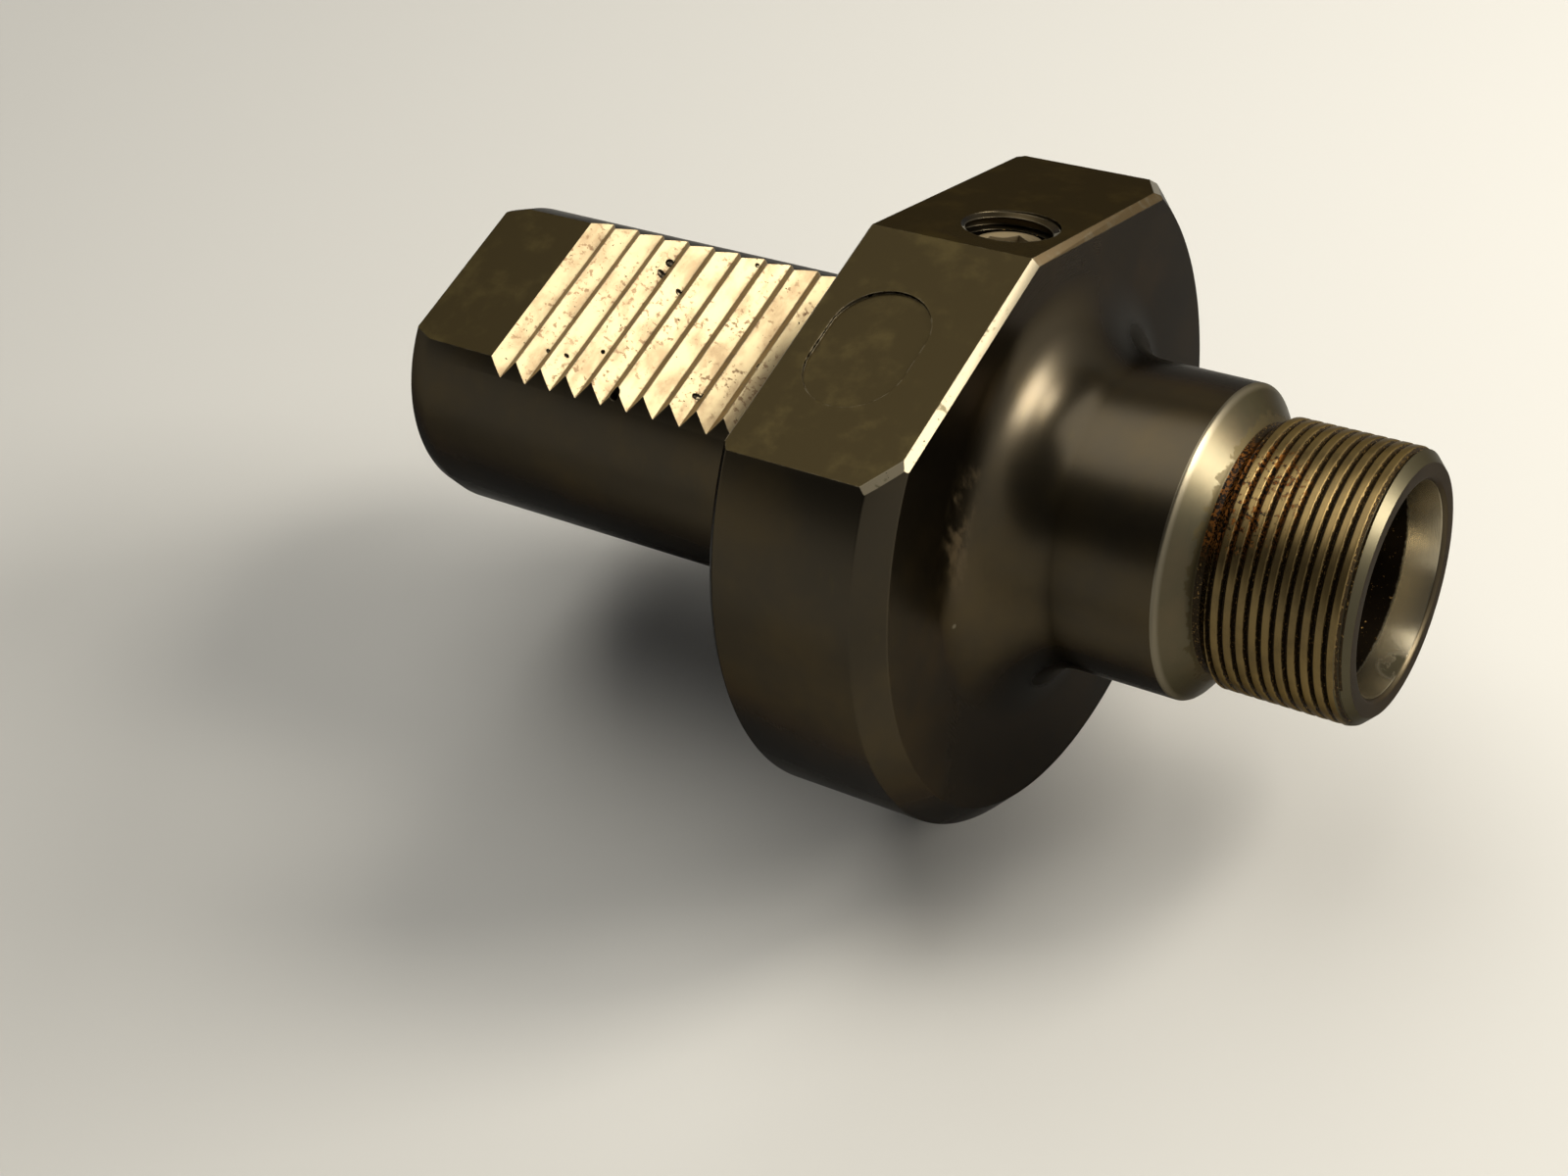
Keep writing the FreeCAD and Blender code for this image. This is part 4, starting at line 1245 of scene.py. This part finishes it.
class HOLDER_OT_body(bpy.types.Operator):
    """Build the holder's body with its teeth, flats, thread, seat and drillings."""

    bl_idname = "collet_holder.make_body"
    bl_label = "Body"

    def execute(self, context):
        scene = context.scene
        cutters = [*flat_cutters(scene), *corner_cutters(scene), tooth_cutter(scene),
                   chip_cutter(scene), recess_cutter(scene), *drill_cutters(scene)]
        mesh = cut(body_mesh(scene), "holder_body_steel", cutters)
        names = list(BODY_FINISHES)
        kinds = [names.index(body_finish(scene, face.center, face.normal)) for face in mesh.polygons]
        materials = [BODY_FINISHES[name](scene.holder_colours) for name in names]
        piece = placed(scene, mesh, "holder_body_steel", materials)
        mesh.polygons.foreach_set("material_index", kinds)
        # level faces stay level beside the rounded chips and thread
        level = {names.index(name) for name in ("milled", "lit tooth faces", "away flank bounce")}
        mesh.polygons.foreach_set("use_smooth", [kind not in level for kind in kinds])
        handed_over(piece, "holder", "holder_body")
        return {"FINISHED"}


class HOLDER_OT_side_plug(bpy.types.Operator):
    """Build the socket plug sunk in the tilted flat."""

    bl_idname = "collet_holder.make_side_plug"
    bl_label = "Side plug"

    def execute(self, context):
        scene, sizes, flange = context.scene, context.scene.holder_fasteners, context.scene.holder_flange
        mesh = plug_mesh("side_plug_steel", sizes.side_radius, sizes.side_length, sizes.side_socket,
                         sizes.side_socket_depth, sizes)
        outer = Matrix.Translation((flange.hole_setback, 0.0, 0.0))
        sunk = Matrix.Translation((0.0, 0.0, flange.flat_height - sizes.side_sink))
        upright = tilted(flange) @ outer @ sunk @ UPRIGHT
        mesh.transform(upright @ Matrix.Rotation(sizes.side_turn, 4, "X"))
        piece = placed(scene, mesh, "side_plug_steel", [plug_steel(scene.holder_colours)])
        handed_over(piece, "holder", "side_plug")
        return {"FINISHED"}


class HOLDER_OT_rear_plug(bpy.types.Operator):
    """Build the socket plug in the shank's end."""

    bl_idname = "collet_holder.make_rear_plug"
    bl_label = "Rear plug"

    def execute(self, context):
        scene, sizes = context.scene, context.scene.holder_fasteners
        mesh = plug_mesh("rear_plug_steel", sizes.rear_radius, sizes.rear_length, sizes.rear_socket,
                         sizes.rear_socket_depth, sizes)
        backwards = Matrix.Rotation(math.pi, 4, "Z")
        outer = Matrix.Translation((sizes.rear_sink - scene.holder_shank.reach, 0.0, 0.0))
        mesh.transform(outer @ backwards)
        piece = placed(scene, mesh, "rear_plug_steel", [plug_steel(scene.holder_colours)])
        handed_over(piece, "holder", "rear_plug")
        return {"FINISHED"}


class HOLDER_OT_stop_screw(bpy.types.Operator):
    """Build the adjusting screw behind the collet."""

    bl_idname = "collet_holder.make_stop_screw"
    bl_label = "Stop screw"

    def execute(self, context):
        scene, sizes = context.scene, context.scene.holder_fasteners
        mesh = stop_screw_mesh(sizes)
        mesh.transform(Matrix.Translation((sizes.stop_front, 0.0, 0.0)))
        piece = placed(scene, mesh, "stop_screw_steel", [stop_screw_steel(scene.holder_colours)])
        handed_over(piece, "stop_screw", "stop_screw")
        return {"FINISHED"}


class HOLDER_OT_seals(bpy.types.Operator):
    """Build the three ring seals."""

    bl_idname = "collet_holder.make_seals"
    bl_label = "Seals"

    def execute(self, context):
        scene, sizes = context.scene, context.scene.holder_fasteners
        bore, flange, shank = scene.holder_bore, scene.holder_flange, scene.holder_shank
        rubber = seal_rubber(scene.holder_colours)
        seals = {
            "shank_seal": (
                sizes.shank_cord - sizes.seal_proud - sizes.seal_gap,
                flange.seal_inside + sizes.seal_gap + sizes.shank_cord, sizes.shank_cord, "holder"),
            "stop_screw_seal": (
                sizes.stop_front - sizes.stop_head_length / 2,
                bore.stop_radius - sizes.seal_gap - sizes.stop_cord, sizes.stop_cord, "screw_carrier"),
            "rear_plug_seal": (
                bore.rear_depth - shank.reach - sizes.rear_cord - sizes.seal_gap,
                bore.rear_radius - sizes.seal_gap - sizes.rear_cord, sizes.rear_cord, "holder"),
        }
        for node, (middle, ring_radius, cord, body) in seals.items():
            mesh = seal_mesh(f"{node}_rubber", middle, ring_radius, cord, sizes.flash)
            piece = placed(scene, mesh, f"{node}_rubber", [rubber])
            handed_over(piece, body, node)
        return {"FINISHED"}


# Where the photograph was taken from, which way the camera looks and where its top points
CAMERA_PLACE = Vector((0.14112, -0.14691, 0.22081))
CAMERA_LOOK = Vector((-0.4967, 0.4254, -0.7565))
CAMERA_UP = Vector((-0.2563, 0.7608, 0.5962))
# Directions from the object to the lamps
KEY_FROM = Vector((0.61, 0.41, 0.68))
SIDE_FROM = Vector((0.82, 0.41, 0.40))
FILL_FROM = Vector((-0.20, 0.30, 0.93))
# Warm white of each lamp, and how widely the side lamp shines
KEY_TINT = (1.0, 0.93, 0.80)
SIDE_TINT = (1.0, 0.94, 0.83)
FILL_TINT = (1.0, 0.96, 0.87)
SIDE_SPREAD = math.radians(90)
# How far the lamps stand from the object's origin, in metres
LAMP_REACH = 0.65


def add_lamp(scene, name, direction, power, size, tint, spread=math.pi):
    """A square area lamp that shines on the object from one direction, like a studio softbox."""
    lamp = bpy.data.lights.new(name, "AREA")
    lamp.energy, lamp.size, lamp.color, lamp.spread = power, size, tint, spread
    holder = bpy.data.objects.new(name, lamp)
    holder.location = direction.normalized() * LAMP_REACH
    holder.rotation_euler = (-direction).to_track_quat("-Z", "Y").to_euler()
    holder.visible_camera = False
    scene.collection.objects.link(holder)


class HOLDER_OT_stage(bpy.types.Operator):
    """Add the floor, the lamps and the camera."""

    bl_idname = "collet_holder.make_stage"
    bl_label = "Stage"

    def execute(self, context):
        scene, stage = context.scene, context.scene.holder_stage
        half, bend = stage.floor_size / 2, stage.floor_bend
        turns = [math.radians(degrees) for degrees in range(0, 91, 5)]
        curve = [(bend * (1 - math.cos(turn)), half - bend + bend * math.sin(turn)) for turn in turns]
        shape = bmesh.new()
        add_turned(shape, [(0.0, 0.0), *curve, (half / 2, half)], SCREW_COLUMNS)
        mesh = finished_mesh(shape, "floor")
        mesh.transform(UPRIGHT)
        floor = placed(scene, mesh, "floor", [floor_paint(stage)])
        floor.location.z = CAD_BOX[0][2]
        add_lamp(scene, "key", KEY_FROM, stage.key_power, stage.key_size, KEY_TINT)
        add_lamp(scene, "side", SIDE_FROM, stage.side_power, stage.side_size, SIDE_TINT, SIDE_SPREAD)
        add_lamp(scene, "fill", FILL_FROM, stage.fill_power, stage.fill_size, FILL_TINT)
        world = bpy.data.worlds.new("grey_surroundings")
        world.use_nodes = True
        background = world.node_tree.nodes["Background"]
        background.inputs["Color"].default_value = (1.0, 1.0, 1.0, 1.0)
        background.inputs["Strength"].default_value = stage.ambient
        scene.world = world
        camera = bpy.data.objects.new("camera", bpy.data.cameras.new("camera"))
        camera.data.lens = stage.lens
        back, up = -CAMERA_LOOK.normalized(), CAMERA_UP.normalized()
        right = up.cross(back).normalized()
        turn = Matrix((right, back.cross(right), back)).transposed()
        camera.matrix_world = Matrix.Translation(CAMERA_PLACE) @ turn.to_4x4()
        scene.collection.objects.link(camera)
        scene.camera = camera
        scene.view_settings.view_transform = "Standard"
        return {"FINISHED"}


class HOLDER_PT_panel(bpy.types.Panel):
    """Buttons that build each part of the model."""

    bl_idname = "HOLDER_PT_panel"
    bl_label = "Collet chuck holder"
    bl_space_type = "VIEW_3D"
    bl_region_type = "UI"
    bl_category = "Holder"

    def draw(self, context):
        for operator in OPERATORS:
            self.layout.operator(operator.bl_idname)
        for group in SETTINGS:
            settings = getattr(context.scene, group)
            box = self.layout.box()
            for name in settings.__annotations__:
                box.prop(settings, name)


OPERATORS = (
    HOLDER_OT_body,
    HOLDER_OT_side_plug,
    HOLDER_OT_rear_plug,
    HOLDER_OT_stop_screw,
    HOLDER_OT_seals,
    HOLDER_OT_stage,
)
SETTINGS = {
    "holder_shank": ShankSizes,
    "holder_flange": FlangeSizes,
    "holder_nose": NoseSizes,
    "holder_bore": BoreSizes,
    "holder_fasteners": FastenerSizes,
    "holder_colours": FinishColours,
    "holder_stage": StageSettings,
}


def register():
    """Add the settings, the operators and the panel to Blender."""
    for kind in (*SETTINGS.values(), *OPERATORS, HOLDER_PT_panel):
        bpy.utils.register_class(kind)
    for name, kind in SETTINGS.items():
        setattr(bpy.types.Scene, name, bpy.props.PointerProperty(type=kind))


def unregister():
    """Take them out again."""
    for name in SETTINGS:
        delattr(bpy.types.Scene, name)
    for kind in (HOLDER_PT_panel, *reversed(OPERATORS), *reversed(SETTINGS.values())):
        bpy.utils.unregister_class(kind)


def main():
    """Build the whole model."""
    register()
    bpy.ops.collet_holder.make_body()
    bpy.ops.collet_holder.make_side_plug()
    bpy.ops.collet_holder.make_rear_plug()
    bpy.ops.collet_holder.make_stop_screw()
    bpy.ops.collet_holder.make_seals()
    bpy.ops.collet_holder.make_stage()


if __name__ == "__main__":
    main()
